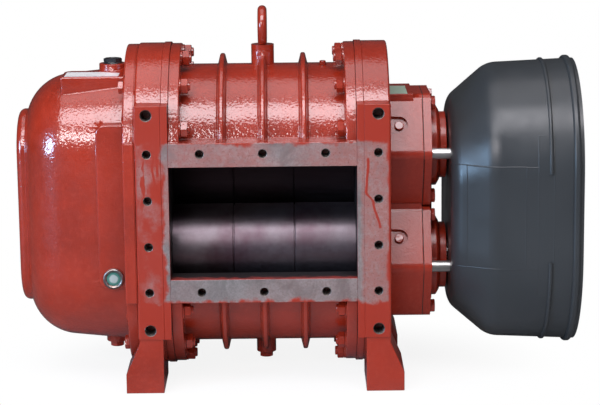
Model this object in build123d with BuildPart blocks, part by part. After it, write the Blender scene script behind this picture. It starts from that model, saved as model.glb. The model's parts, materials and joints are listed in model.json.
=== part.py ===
"""Rotary lobe blower (Roots type vacuum pump) with power take-off drive.

Two shafts lie along X, one above the other, and carry a pair of two-lobe rotors inside a ribbed
casing with rectangular ports front and back. Timing gears run in an oil bath cover at the -X end.
The lower shaft leaves the machine at the +X end, inside a bell shaped guard.

Frame: origin on the floor at the centre of the four foot bolt holes, +X towards the drive end,
-Y towards the inlet port (front), +Z up. Lengths are in millimetres.
"""
import os
from math import acos, cos, pi, radians, sin, sqrt, tan

from build123d import *

# ---- Machine layout ----
shaft_spacing = 150.0  # upper shaft above lower shaft
mid_height = 224.0  # floor to the level halfway between the shafts
rest_turn = 33.6  # lobe axis of the lower rotor against the horizontal

# ---- Working clearances ----
tip_gap = 0.5  # rotor tip to chamber wall
lobe_gap = 0.5  # rotor to rotor
end_gap = 0.5  # rotor end to side plate
run_gap = 0.05  # running fit of a shaft in its seal, radial
hole_gap = 0.3  # bolt, dowel or plug in its hole, radial
blind_gap = 1.0  # blind hole past the end of its screw

# ---- Casing ----
chamber_length = 240.0
chamber_radius = 103.0
casing_wall = 8.0
casing_flange_width = 27.5  # beyond the round body
casing_flange_thickness = 14.0
rib_pitch = 53.0
rib_height = 13.5
rib_crest = 5.5
rib_root = 12.0
port_depth = 142.0  # shaft plane to a port face
port_height = 146.0
port_bar = 31.0  # height of the bar above and below the port
rear_port_width = 200.0
port_bolt_x = 80.0
port_bolt_z = 90.0
port_bolt_radius = 5.1
port_bolt_length = 24.0
lift_boss_radius = 15.0
lift_boss_rise = 5.5  # above the rib crest
drain_boss_radius = 13.0
drain_boss_length = 20.0
casing_edge_round = 2.0
crest_round = 2.5
port_plug_x = 79.0
port_plug_y = -12.0
port_plug_radius = 4.2
port_plug_rise = 5.5
port_plug_shank = 3.0
port_plug_length = 5.0

# ---- Side plates and heads ----
side_plate_thickness = 9.0
side_plate_proud = 2.0  # beyond the casing flange, all round
head_thickness = 34.0
head_margin = 1.0  # beyond the casing flange
head_edge_round = 3.0
pad_height = 304.0
column_bolt_inset = 16.0  # column holes to the head's outer face
column_bolt_z = 30.0
corner_bolt_z = 140.0
corner_bolt_radius = 6.9
corner_bolt_length = 28.0

# ---- Feet ----
foot_front = 140.0  # shaft plane to the front of a foot
foot_depth = 95.0
foot_inner_step = 2.0  # foot starts this far outside the side plate
foot_toe = 49.0  # width of the sole
foot_neck_inset = 1.0  # neck inside the head's outer face
foot_sole_height = 25.0
foot_flare_height = 65.0
foot_relief = 1.5  # gear end feet to the cover flange
foot_bolt_radius = 6.9
foot_bolt_length = 30.0
foot_root = 5.0  # neck carried up into the plate

# ---- Flange studs ----
stud_edge = 11.0  # studs to the edge of the casing flange
stud_angles = (20.0, 47.5, 75.0, 105.0, 132.5, 160.0)
stud_radius = 6.0
stud_grip = 14.0  # into the head
nut_flats = 18.0
nut_height = 10.8
stud_tail = 3.0

# ---- Bearings and seals ----
bearing_bore_radius = 22.5
bearing_outer_radius = 50.0
bearing_race = 7.0  # radial thickness of a ring
bearing_width = 25.0
gear_bearing_width = 39.0
bearing_lip = 2.0  # the rings of a bearing stand this far in from the housing face
gear_boss_wall = 11.0
retainer_thickness = 4.0
retainer_radius = 60.0
retainer_bore = 40.0
circlip_width = 1.75
circlip_depth = 1.3  # groove in the shaft
circlip_height = 4.8
roller_count = 10
roller_inset = 0.12  # of the width of the bearing, at each end
seal_outer_radius = 40.0
seal_width = 10.0
shaft_hole_gap = 2.0  # shaft to the side plate hole
ring_race_gap = 0.2  # roller to race

# ---- Bearing housings and caps, drive end ----
housing_length = 45.0
cap_bolt_ring_radius = 71.5
lobe_radius = 12.5  # rounding of the six corners, about the cap bolts
cap_gasket = 1.0
cap_flange = 10.0
cap_dome_radius = 54.0
cap_dome_length = 13.0
cap_nose_radius = 44.0
cap_nose_length = 9.0
cap_bolt_radius = 5.0
cap_bolt_flats = 16.0
cap_bolt_head = 6.5
cap_bolt_length = 30.0
lip_seal_radius = 30.0
lip_seal_width = 7.0
web_half_width = 44.0
label_pad_length = 33.5
label_pad_half_width = 48.0
label_pad_height = 15.0
label_pad_rise = 1.0
plug_recess_radius = 11.5
plug_recess_depth = 5.0
plug_offset = 14.0  # recess centre from the head face
plug_radius = 6.0
plug_height = 4.0
plug_round = 1.2

# ---- Gear cover ----
cover_flange_inset = 1.5  # inside the outline of the head
cover_flange_width = 28.0  # beyond the round body
cover_flange_thickness = 15.0
cover_gasket = 0.8
cover_edge_round = 2.0
cover_flat_height = 208.0
cover_length = 136.0  # beyond its flange
cover_taper = 15.0
cover_corner = 65.0
cover_wall = 7.0
cover_boss_radius = 54.0
cover_boss_length = 9.5
cover_boss_round = 8.0
cover_panel_width = 36.0
cover_panel_top = 124.0
cover_panel_bottom = -91.0
cover_panel_rise = 3.0  # in front of the round body
cover_panel_corner = 12.0
cover_pad_round = 2.5
name_pad_start = 2.0  # from the cover flange
name_pad_length = 82.0
name_pad_depth = 60.0
name_pad_drop = 6.0  # under the top of the round body
name_pad_height = 24.0
filler_x = 35.0  # from the head face
filler_radius = 18.0
filler_rise = 4.0
sight_x = 32.0
sight_z = -77.0
sight_radius = 13.5
cover_drain_x = 39.0
cover_drain_radius = 14.0
cover_drain_rise = 4.0
cover_stud_radius = 5.0
cover_stud_angles = (47.5, 132.5)

filler_washer_radius = 12.5
filler_washer = 1.5
filler_flats = 22.0
filler_head = 5.0
filler_thread_radius = 9.0
filler_thread_length = 12.0
sight_proud = 5.0
sight_thread_radius = 10.5
sight_thread_length = 9.0
sight_glass_radius = 9.0
drain_flats = 17.0
drain_head = 7.0
drain_thread_radius = 6.5
drain_thread_length = 10.0

# ---- Rotors and shafts ----
rotor_groove_width = 2.0
rotor_groove_depth = 2.0
rotor_bore_radius = 30.0
journal_radius = 27.5
gear_seat_radius = 20.0
nut_seat_radius = 17.5
drive_seat_radius = 19.0
spline_major_radius = 17.45
spline_minor_radius = 14.8
spline_tooth = 8.7
spline_length = 76.0
spline_groove = 8.0
spline_groove_from_end = 27.0
drive_neck_length = 30.0  # plain shaft between the cap and the spline
shaft_overrun = 4.0  # shaft past its last ring or nut
neck_gap = 1.0  # shaft to the bore of the lower cap

# ---- Timing gears ----
gear_teeth = 30
gear_width = 38.0
gear_backlash = 0.3
pressure_angle = 20.0
gear_hub_gap = 6.0  # gear to the inner boss of the head
gear_web = 14.0
gear_rim = 11.0
gear_hub_radius = 34.0
key_width = 12.0
key_height = 8.0
key_length = 30.0
slinger_radius = 84.0
slinger_thickness = 3.0
washer_radius = 30.0
locknut_radius = 26.0
locknut_width = 12.0

# ---- Guard ----
guard_wall = 4.0
guard_length = 167.0
guard_back_height = 138.0  # half height and half depth of the oblong sections
guard_back_depth = 105.0
guard_shoulder_x = 53.0
guard_shoulder_height = 183.5
guard_shoulder_depth = 131.0
guard_mouth_height = 188.5
guard_mouth_depth = 136.0
guard_back_round = 25.0
guard_shoulder_round = 38.0
guard_bead_x = 125.0
guard_bead = 2.5
guard_bead_width = 5.0
guard_bead_gap = 58.0  # half height left plain on the front and back
guard_rim_x = 158.0
guard_rim = 4.0
guard_rim_width = 9.0
guard_slot_x = 102.5
guard_slot_length = 13.0
guard_slot_width = 6.0
guard_shaft_gap = 12.0
spacer_radius = 7.25
spacer_length = 24.0
guard_screw_radius = 4.0
guard_screw_head = 7.5
guard_screw_head_height = 6.0
guard_screw_length = 14.0

# ---- Small fittings ----
eye_ring_radius = 21.0
eye_ring_thickness = 6.0
eye_collar_radius = 15.0
eye_collar_height = 7.0
eye_shank_radius = 6.0
eye_shank_length = 16.0
eye_turn = 8.0
dowel_radius = 5.0
dowel_length = 24.0
dowel_angles = (6.0, 174.0)

# ---- Levels and stations that follow ----
lower = mid_height - shaft_spacing / 2
upper = mid_height + shaft_spacing / 2
shaft_levels = (lower, upper)
x_chamber = chamber_length / 2
x_head = x_chamber + side_plate_thickness
x_face = x_head + head_thickness
casing_radius = chamber_radius + casing_wall
casing_flange_radius = casing_radius + casing_flange_width
head_radius = casing_flange_radius + head_margin
stud_ring_radius = casing_flange_radius - stud_edge
cover_flange_radius = head_radius - cover_flange_inset
cover_radius = cover_flange_radius - cover_flange_width
cover_panel_depth = cover_radius + cover_panel_rise
name_pad_top = shaft_spacing / 2 + cover_radius - name_pad_drop
rib_radius = casing_radius + rib_height
bar_top = port_height / 2 + port_bar
side_hole_radius = journal_radius + shaft_hole_gap
column_bolt_x = x_face - column_bolt_inset
rear_pitch = port_bolt_z / 2
x_housing = x_face + housing_length
x_cap = x_housing + cap_gasket
x_cap_face = x_cap + cap_flange
x_nose = x_cap_face + cap_dome_length + cap_nose_length
x_guard = x_cap_face + spacer_length
x_bearing_end = x_housing - cap_flange - 1.0
x_bearing = x_bearing_end - bearing_width
x_seal = x_bearing - seal_width
x_gear_seal = x_head + 5.0
x_gear_bearing = x_gear_seal + seal_width
x_gear_bearing_end = x_gear_bearing + gear_bearing_width
x_gear_boss = x_gear_bearing_end + bearing_lip
x_gear = x_gear_boss + gear_hub_gap
x_gear_end = x_gear + gear_width
x_washer_end = x_gear_end + slinger_thickness
dowel_grip = (dowel_length - side_plate_thickness) / 2
port_plug_seat = upper + sqrt(casing_radius**2 - port_plug_y**2)
x_cover_flange = x_face + cover_flange_thickness
x_cover_end = x_cover_flange + cover_length
pitch_radius = shaft_spacing / 2
shaft_end_x = x_nose + drive_neck_length + spline_length


# ---- Shared helpers ----
def section(x, level=mid_height, turn=0.0):
    """Plane across the shafts at x, normal +X: local axes Y and Z, turned about X in degrees."""
    x_dir = (0, cos(radians(turn)), sin(radians(turn)))
    return Plane(origin=(x, 0, level), x_dir=x_dir, z_dir=(1, 0, 0))


def wall_plane(front):
    """Plane on the front or back port face, looking out of the machine, local y up."""
    side = -1 if front else 1
    return Plane(origin=(0, side * port_depth, mid_height), x_dir=(-side, 0, 0), z_dir=(0, side, 0))


def shaft_axis(level):
    """Axis of the shaft at the given height."""
    return Axis((0, 0, level), (1, 0, 0))


def stadium(x, radius):
    """Face round both shafts at the given radius."""
    with BuildSketch(section(x)) as outline:
        SlotCenterToCenter(shaft_spacing, 2 * radius, rotation=90)
    return outline.sketch


def padded_stadium(x, radius, height):
    """Stadium with flat pads front and back that reach the port faces."""
    with BuildSketch(section(x)) as outline:
        SlotCenterToCenter(shaft_spacing, 2 * radius, rotation=90)
        Rectangle(2 * port_depth, height)
    return outline.sketch


def discs(x, radius, centres=((0, -shaft_spacing / 2), (0, shaft_spacing / 2))):
    """Round faces across X, one at each centre."""
    with BuildSketch(section(x)) as outline:
        with Locations(*centres):
            Circle(radius)
    return outline.sketch


def hexes(x, flats, centres):
    """Hexagonal faces across X, one at each centre."""
    with BuildSketch(section(x)) as outline:
        with Locations(*centres):
            RegularPolygon(flats / 2, 6, major_radius=False)
    return outline.sketch


def half_profile(points, level):
    """Face drawn as (x, radius) points beside a shaft, ready to revolve about it."""
    with BuildSketch(Plane(origin=(0, 0, level), x_dir=(1, 0, 0), z_dir=(0, -1, 0))) as half:
        with BuildLine():
            Polyline(*points, close=True)
        make_face()
    return half.sketch


def ring_profile(x_start, x_end, inner, outer, level):
    """Rectangle beside a shaft that revolves into a ring."""
    corners = ((x_start, inner), (x_end, inner), (x_end, outer), (x_start, outer))
    return half_profile(corners, level)


def ring_centres(radius, angles):
    """Points round both ends of the stadium, as (y, z) from the mid level."""
    centres = []
    for end in (1, -1):
        for angle in angles:
            y = -radius * cos(radians(angle))
            z = end * (shaft_spacing / 2 + radius * sin(radians(angle)))
            centres.append((y, z))
    return centres


def shaft_polar(radius, angles):
    """Points on a circle round each shaft, as (y, z) from the mid level."""
    centres = []
    for end in (1, -1):
        for angle in angles:
            y = radius * cos(radians(angle))
            z = end * shaft_spacing / 2 + radius * sin(radians(angle))
            centres.append((y, z))
    return centres


def outside_body(edge):
    """Whether the middle of an edge lies outside the round bodies of casing and cover."""
    middle = edge.position_at(0.5)
    beyond = max(0, abs(middle.Z - mid_height) - shaft_spacing / 2)
    return middle.Y**2 + beyond**2 > (casing_radius + 1) ** 2


def save(piece, name):
    """Label a finished piece and write its STEP file."""
    piece.part.label = name
    export_step(piece.part, f"parts/{name}.step")


stud_centres = ring_centres(stud_ring_radius, stud_angles)
cover_stud_centres = ring_centres(stud_ring_radius, cover_stud_angles)
dowel_centres = ring_centres(stud_ring_radius, dowel_angles)
cap_bolt_centres = shaft_polar(cap_bolt_ring_radius, (60, 120, 240, 300))
spacer_centres = shaft_polar(cap_bolt_ring_radius, (0, 180))
bar_bolts = [(x, z) for x in (-port_bolt_x, 0, port_bolt_x) for z in (-port_bolt_z, port_bolt_z)]
front_levels = (-port_bolt_z, -column_bolt_z, column_bolt_z, port_bolt_z)
rear_levels = [rear_pitch * step for step in (-2, -1, 0, 1, 2)]

os.makedirs("parts", exist_ok=True)

# ---- Casing: twin bore body with end flanges, ribs, port blocks and bosses ----
with BuildPart() as rib:
    loft(
        [
            stadium(-rib_root / 2, casing_radius).face(),
            stadium(-rib_crest / 2, rib_radius).face(),
            stadium(rib_crest / 2, rib_radius).face(),
            stadium(rib_root / 2, casing_radius).face(),
        ],
        ruled=True,
    )
    crests = rib.edges().filter_by_position(Axis.X, -rib_crest / 2, rib_crest / 2)
    fillet(crests.filter_by(GeomType.CIRCLE) + crests.filter_by(GeomType.LINE), crest_round)

with BuildPart() as casing:
    extrude(stadium(-x_chamber, casing_radius), amount=chamber_length)
    for side in (-1, 1):
        extrude(stadium(side * x_chamber, casing_flange_radius), amount=-side * casing_flange_thickness)
        flange_x = side * (x_chamber - casing_flange_thickness)
        rim = casing.edges().filter_by_position(Axis.X, flange_x, flange_x)
        fillet(rim.filter_by(outside_body), casing_edge_round)
    for rib_x in (-rib_pitch, 0, rib_pitch):
        with Locations((rib_x, 0, 0)):
            add(rib.part)
    with Locations((0, 0, mid_height)):
        Box(chamber_length, 2 * port_depth, 2 * bar_top)
    with Locations((0, 0, upper)):
        Cylinder(
            lift_boss_radius,
            rib_radius + lift_boss_rise,
            align=(Align.CENTER, Align.CENTER, Align.MIN),
        )
    with Locations((0, 0, lower - casing_radius - drain_boss_length)):
        Cylinder(
            drain_boss_radius,
            drain_boss_length + casing_wall,
            align=(Align.CENTER, Align.CENTER, Align.MIN),
        )
    extrude(discs(-x_chamber, chamber_radius), amount=chamber_length, mode=Mode.SUBTRACT)
    with Locations((0, -port_depth / 2, mid_height)):
        Box(chamber_length, port_depth, port_height, mode=Mode.SUBTRACT)
    with Locations((0, port_depth / 2, mid_height)):
        Box(rear_port_width, port_depth, port_height, mode=Mode.SUBTRACT)
    for front in (True, False):
        with Locations(wall_plane(front)):
            with Locations(*bar_bolts):
                Hole(port_bolt_radius, depth=port_bolt_length)
    with Locations(Plane(origin=(0, 0, upper + rib_radius + lift_boss_rise))):
        Hole(eye_shank_radius + hole_gap, depth=eye_shank_length + blind_gap)
    with Locations((0, 0, lower - casing_radius - drain_boss_length)):
        Cylinder(
            stud_radius + hole_gap,
            drain_thread_length + blind_gap,
            align=(Align.CENTER, Align.CENTER, Align.MIN),
            mode=Mode.SUBTRACT,
        )
    with Locations(Plane(origin=(port_plug_x, port_plug_y, port_plug_seat))):
        CounterBoreHole(
            port_plug_shank + hole_gap,
            port_plug_radius + 1.0,
            hole_gap,
            depth=port_plug_length + blind_gap,
        )
    for side in (-1, 1):
        extrude(
            discs(side * x_chamber, stud_radius + hole_gap, stud_centres),
            amount=-side * casing_flange_thickness,
            mode=Mode.SUBTRACT,
        )
        extrude(
            discs(side * x_chamber, dowel_radius, dowel_centres),
            amount=-side * dowel_grip,
            mode=Mode.SUBTRACT,
        )
save(casing, "casing")

# ---- Side plates ----
for side, end_name in ((-1, "gear"), (1, "drive")):
    with BuildPart() as side_plate:
        plate_outline = padded_stadium(
            side * x_chamber, casing_flange_radius + side_plate_proud, pad_height
        )
        extrude(plate_outline, amount=side * side_plate_thickness)
        extrude(
            discs(side * x_chamber, side_hole_radius),
            amount=side * side_plate_thickness,
            mode=Mode.SUBTRACT,
        )
        extrude(
            discs(side * x_chamber, stud_radius + hole_gap, stud_centres),
            amount=side * side_plate_thickness,
            mode=Mode.SUBTRACT,
        )
        extrude(
            discs(side * x_chamber, dowel_radius, dowel_centres),
            amount=side * side_plate_thickness,
            mode=Mode.SUBTRACT,
        )
    save(side_plate, f"side_plate_{end_name}")


# ---- Heads: plate, pads, feet and the two bearing bores ----
def head_plate(head, side):
    """Add the plate with its pads and feet to a head."""
    extrude(padded_stadium(side * x_head, head_radius, pad_height), amount=side * head_thickness)
    outer_face = head.faces().sort_by(Axis.X)[-1 if side > 0 else 0]
    fillet(outer_face.edges(), head_edge_round)
    x_inner = x_head + foot_inner_step
    x_neck = x_face - foot_neck_inset
    z_top = mid_height - pad_height / 2 + foot_root
    outline = (
        (side * x_inner, z_top),
        (side * x_inner, 0),
        (side * (x_inner + foot_toe), 0),
        (side * (x_inner + foot_toe), foot_sole_height),
        (side * x_neck, foot_flare_height),
        (side * x_neck, z_top),
    )
    for y_start in (-foot_front, foot_front - foot_depth):
        with BuildSketch(Plane.XZ.offset(-y_start)) as foot:
            with BuildLine():
                Polyline(*outline, close=True)
            make_face()
        extrude(foot.sketch, amount=-foot_depth)


def head_holes(side, bearing_start, bearing_mouth, seal_start):
    """Cut the stepped shaft bores, the stud holes and the tapped holes of a head."""
    for level in shaft_levels:
        bore = (
            (side * x_head, 0),
            (side * x_head, side_hole_radius),
            (side * seal_start, side_hole_radius),
            (side * seal_start, seal_outer_radius),
            (side * bearing_start, seal_outer_radius),
            (side * bearing_start, bearing_outer_radius),
            (side * bearing_mouth, bearing_outer_radius),
            (side * bearing_mouth, 0),
        )
        revolve(half_profile(bore, level), axis=shaft_axis(level), mode=Mode.SUBTRACT)
    extrude(
        discs(side * x_head, stud_radius + hole_gap, stud_centres),
        amount=side * (stud_grip + blind_gap),
        mode=Mode.SUBTRACT,
    )
    for front, levels, corner in ((True, front_levels, corner_bolt_z), (False, rear_levels, 3 * rear_pitch)):
        mirror_x = side if front else -side
        with Locations(wall_plane(front)):
            with Locations(*[(mirror_x * column_bolt_x, z) for z in levels]):
                Hole(port_bolt_radius, depth=port_bolt_length)
            with Locations(*[(mirror_x * column_bolt_x, z) for z in (-corner, corner)]):
                Hole(corner_bolt_radius, depth=corner_bolt_length)
    foot_x = side * (x_head + foot_inner_step + foot_toe / 2)
    foot_y = foot_front - foot_depth / 2
    with Locations((foot_x, -foot_y, 0), (foot_x, foot_y, 0)):
        Cylinder(
            foot_bolt_radius,
            foot_bolt_length,
            align=(Align.CENTER, Align.CENTER, Align.MIN),
            mode=Mode.SUBTRACT,
        )
    extrude(
        discs(side * x_head, dowel_radius, dowel_centres),
        amount=side * dowel_grip,
        mode=Mode.SUBTRACT,
    )


with BuildPart() as head_gear:
    head_plate(head_gear, -1)
    flange_relief = padded_stadium(-x_face, cover_flange_radius + foot_relief, cover_flat_height)
    extrude(flange_relief, amount=-(x_head + foot_inner_step + foot_toe - x_face), mode=Mode.SUBTRACT)
    extrude(discs(-x_face, bearing_outer_radius + gear_boss_wall), amount=-(x_gear_boss - x_face))
    head_holes(-1, x_gear_bearing, x_gear_boss, x_gear_seal)
    extrude(
        discs(-x_face, cover_stud_radius + hole_gap, cover_stud_centres),
        amount=stud_grip + blind_gap,
        mode=Mode.SUBTRACT,
    )
save(head_gear, "head_gear")


def lobed_hexagon(x):
    """Two six-cornered faces about the shafts, with each corner rounded about its cap bolt."""
    with BuildSketch(section(x)) as outline:
        for level in (-shaft_spacing / 2, shaft_spacing / 2):
            with Locations((0, level)):
                RegularPolygon(cap_bolt_ring_radius + lobe_radius / cos(radians(30)), 6)
        fillet(outline.vertices(), lobe_radius)
    return outline.sketch


def plug_plane(level):
    """Plane on the upper front facet of a bearing housing, looking out of it."""
    facet = cap_bolt_ring_radius * cos(radians(30)) + lobe_radius
    out_y, out_z = -cos(radians(30)), sin(radians(30))
    return Plane(
        origin=(x_face + plug_offset, facet * out_y, level + facet * out_z),
        x_dir=(1, 0, 0),
        z_dir=(0, out_y, out_z),
    )


with BuildPart() as head_drive:
    head_plate(head_drive, 1)
    extrude(lobed_hexagon(x_face), amount=housing_length)
    with Locations(((x_face + x_housing) / 2, 0, mid_height)):
        Box(housing_length, 2 * web_half_width, shaft_spacing / 3)
    pad_top = upper + cap_bolt_ring_radius * cos(radians(30)) + lobe_radius + label_pad_rise
    with Locations((x_face, 0, pad_top)):
        Box(
            label_pad_length,
            2 * label_pad_half_width,
            label_pad_height,
            align=(Align.MIN, Align.CENTER, Align.MAX),
        )
    head_holes(1, x_bearing, x_housing, x_seal)
    for level in shaft_levels:
        with BuildSketch(plug_plane(level)) as recess:
            Circle(plug_recess_radius)
            Rectangle(plug_offset, 2 * plug_recess_radius, align=(Align.MAX, Align.CENTER))
        extrude(recess.sketch, amount=-plug_recess_depth, mode=Mode.SUBTRACT)
    extrude(
        discs(x_housing, cap_bolt_radius + hole_gap, cap_bolt_centres + spacer_centres),
        amount=-(cap_bolt_length - cap_flange),
        mode=Mode.SUBTRACT,
    )
save(head_drive, "head_drive")


# ---- Gear cover: domed shell with flange, end boss, panel and pads ----
def softened(pad):
    """Pad with all its edges rounded but those towards the head."""
    head_side = pad.edges().group_by(Axis.X)[-1]
    return pad.fillet(cover_pad_round, [edge for edge in pad.edges() if edge not in head_side])


def cover_body(inset):
    """Add a rounded stadium body about both shafts, set in by inset, to the active part."""
    x_end = x_cover_end - inset
    top = cover_radius - inset
    corner = (-x_end, top - cover_taper)
    corner_round = cover_corner - inset
    for level in shaft_levels:
        with BuildSketch(Plane(origin=(0, 0, level), x_dir=(1, 0, 0), z_dir=(0, -1, 0))) as half:
            with BuildLine():
                Polyline((-x_face, 0), (-x_face, top), corner, (-x_end, 0), close=True)
            make_face()
            fillet(half.vertices().sort_by_distance(corner)[0], corner_round)
        revolve(half.sketch, axis=shaft_axis(level))
    with BuildSketch(Plane.XY.offset(lower)) as middle:
        with BuildLine():
            Polyline(
                (-x_face, -top),
                (-x_face, top),
                corner,
                (corner[0], -corner[1]),
                close=True,
            )
        make_face()
        fillet(middle.vertices().group_by(Axis.X)[0], corner_round)
    extrude(middle.sketch, amount=shaft_spacing)


cover_sight_plane = Plane(
    origin=(-x_face - sight_x, -cover_panel_depth, mid_height + sight_z),
    x_dir=(1, 0, 0),
    z_dir=(0, -1, 0),
)
filler_top = upper + cover_radius + filler_rise
cover_drain_bottom = lower - cover_radius - cover_drain_rise

with BuildPart() as cover_cavity:
    cover_body(cover_wall)

with BuildPart() as gear_cover:
    cover_body(0)
    extrude(
        padded_stadium(-x_face, cover_flange_radius, cover_flat_height),
        amount=-cover_flange_thickness,
    )
    rim = gear_cover.edges().filter_by_position(Axis.X, -x_cover_flange, -x_cover_flange)
    fillet(rim.filter_by(outside_body), cover_edge_round)
    extrude(stadium(-x_cover_end + cover_wall, cover_boss_radius), amount=-cover_wall - cover_boss_length)
    fillet(gear_cover.faces().sort_by(Axis.X)[0].edges(), cover_boss_round)
    panel_plane = Plane(
        origin=(-x_cover_flange, -cover_panel_depth, mid_height + cover_panel_bottom),
        x_dir=(1, 0, 0),
        z_dir=(0, -1, 0),
    )
    with BuildSketch(panel_plane) as panel:
        Rectangle(
            cover_panel_width,
            cover_panel_top - cover_panel_bottom,
            align=(Align.MAX, Align.MIN),
        )
        fillet(panel.vertices().group_by(Axis.X)[0], cover_panel_corner)
    add(softened(extrude(panel.sketch, amount=-cover_panel_depth / 2, mode=Mode.PRIVATE)))
    with BuildSketch(Plane.XY.offset(mid_height + name_pad_top)) as name_pad:
        with Locations((-x_cover_flange - name_pad_start, -name_pad_depth)):
            Rectangle(name_pad_length, name_pad_depth, align=(Align.MAX, Align.MIN))
        crown_corner = name_pad.vertices().group_by(Axis.X)[0].sort_by(Axis.Y)[-1]
        fillet(crown_corner, cover_panel_corner)
    add(softened(extrude(name_pad.sketch, amount=-name_pad_height, mode=Mode.PRIVATE)))
    with Locations((-x_face - filler_x, 0, filler_top)):
        Cylinder(filler_radius, cover_radius, align=(Align.CENTER, Align.CENTER, Align.MAX))
    with Locations((-x_face - cover_drain_x, 0, cover_drain_bottom)):
        Cylinder(
            cover_drain_radius,
            cover_radius,
            align=(Align.CENTER, Align.CENTER, Align.MIN),
        )
    add(cover_cavity.part, mode=Mode.SUBTRACT)
    joint_outline = padded_stadium(-x_face, head_radius, cover_flat_height)
    extrude(joint_outline, amount=-cover_gasket, mode=Mode.SUBTRACT)
    with Locations(Plane(origin=(-x_face - filler_x, 0, filler_top))):
        Hole(filler_thread_radius + hole_gap, depth=cover_radius / 2)
    with Locations(Plane(origin=(-x_face - cover_drain_x, 0, cover_drain_bottom), z_dir=(0, 0, -1))):
        Hole(drain_thread_radius + hole_gap, depth=cover_radius / 2)
    with Locations(cover_sight_plane):
        Hole(sight_thread_radius + hole_gap, depth=cover_radius / 2)
    extrude(
        discs(-x_face, cover_stud_radius + hole_gap, cover_stud_centres),
        amount=-cover_flange_thickness,
        mode=Mode.SUBTRACT,
    )
save(gear_cover, "gear_cover")

with BuildPart() as gasket:
    extrude(padded_stadium(-x_face, cover_flange_radius, cover_flat_height), amount=-cover_gasket)
    extrude(stadium(-x_face, cover_radius - cover_wall), amount=-cover_gasket, mode=Mode.SUBTRACT)
    extrude(
        discs(-x_face, cover_stud_radius + hole_gap, cover_stud_centres),
        amount=-cover_gasket,
        mode=Mode.SUBTRACT,
    )
save(gasket, "cover_gasket")

# ---- Fittings of the gear cover ----
with BuildPart() as filler_plug:
    with Locations((-x_face - filler_x, 0, filler_top)):
        Cone(
            filler_washer_radius,
            filler_flats / 2,
            filler_washer,
            align=(Align.CENTER, Align.CENTER, Align.MIN),
        )
        Cylinder(
            filler_thread_radius,
            filler_thread_length,
            align=(Align.CENTER, Align.CENTER, Align.MAX),
        )
    with BuildSketch(Plane.XY.offset(filler_top + filler_washer)) as filler_hex:
        with Locations((-x_face - filler_x, 0)):
            RegularPolygon(filler_flats / 2, 6, major_radius=False)
    extrude(filler_hex.sketch, amount=filler_head)
save(filler_plug, "oil_filler_plug")

with BuildPart() as sight_ring:
    with BuildSketch(cover_sight_plane):
        Circle(sight_radius)
    extrude(amount=sight_proud)
    with BuildSketch(cover_sight_plane):
        Circle(sight_thread_radius)
    extrude(amount=-sight_thread_length)
    with BuildSketch(cover_sight_plane.offset(-sight_thread_length)):
        Circle(sight_glass_radius)
    extrude(amount=sight_thread_length + sight_proud, mode=Mode.SUBTRACT)
save(sight_ring, "sight_glass_ring")

with BuildPart() as sight_lens:
    with BuildSketch(cover_sight_plane):
        Circle(sight_glass_radius)
    extrude(amount=sight_proud - 1.5)
save(sight_lens, "sight_glass_lens")


def hex_plug(centre, flats, head, thread_radius, thread_length):
    """Add a hexagon plug that points down, its head below centre, to the active part."""
    x, y, z = centre
    with BuildSketch(Plane.XY.offset(z)) as hexagon:
        with Locations((x, y)):
            RegularPolygon(flats / 2, 6, major_radius=False)
    extrude(hexagon.sketch, amount=-head)
    with Locations(centre):
        Cylinder(thread_radius, thread_length, align=(Align.CENTER, Align.CENTER, Align.MIN))


with BuildPart() as cover_drain_plug:
    hex_plug(
        (-x_face - cover_drain_x, 0, cover_drain_bottom),
        drain_flats,
        drain_head,
        drain_thread_radius,
        drain_thread_length,
    )
save(cover_drain_plug, "cover_drain_plug")

with BuildPart() as casing_drain_plug:
    hex_plug(
        (0, 0, lower - casing_radius - drain_boss_length),
        drain_flats,
        drain_head,
        stud_radius,
        drain_thread_length,
    )
save(casing_drain_plug, "casing_drain_plug")

with BuildPart() as port_plug:
    with Locations((port_plug_x, port_plug_y, port_plug_seat - hole_gap)):
        Cylinder(
            port_plug_radius,
            port_plug_rise + hole_gap,
            align=(Align.CENTER, Align.CENTER, Align.MIN),
        )
        Cylinder(
            port_plug_shank,
            port_plug_length - hole_gap,
            align=(Align.CENTER, Align.CENTER, Align.MAX),
        )
    fillet(port_plug.edges().sort_by(Axis.Z)[-1], plug_round)
save(port_plug, "casing_port_plug")

with BuildPart() as cover_screws:
    extrude(hexes(-x_cover_flange, cap_bolt_flats, cover_stud_centres), amount=-cap_bolt_head)
    extrude(
        discs(-x_cover_flange, cover_stud_radius, cover_stud_centres),
        amount=cover_flange_thickness + stud_grip,
    )
save(cover_screws, "cover_screws")

# ---- Bearing caps and their fastenings ----
with BuildPart() as cap_gaskets:
    extrude(lobed_hexagon(x_housing), amount=cap_gasket)
    extrude(discs(x_housing, bearing_outer_radius), amount=cap_gasket, mode=Mode.SUBTRACT)
    extrude(
        discs(x_housing, cap_bolt_radius + hole_gap, cap_bolt_centres + spacer_centres),
        amount=cap_gasket,
        mode=Mode.SUBTRACT,
    )
save(cap_gaskets, "cap_gaskets")


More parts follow.
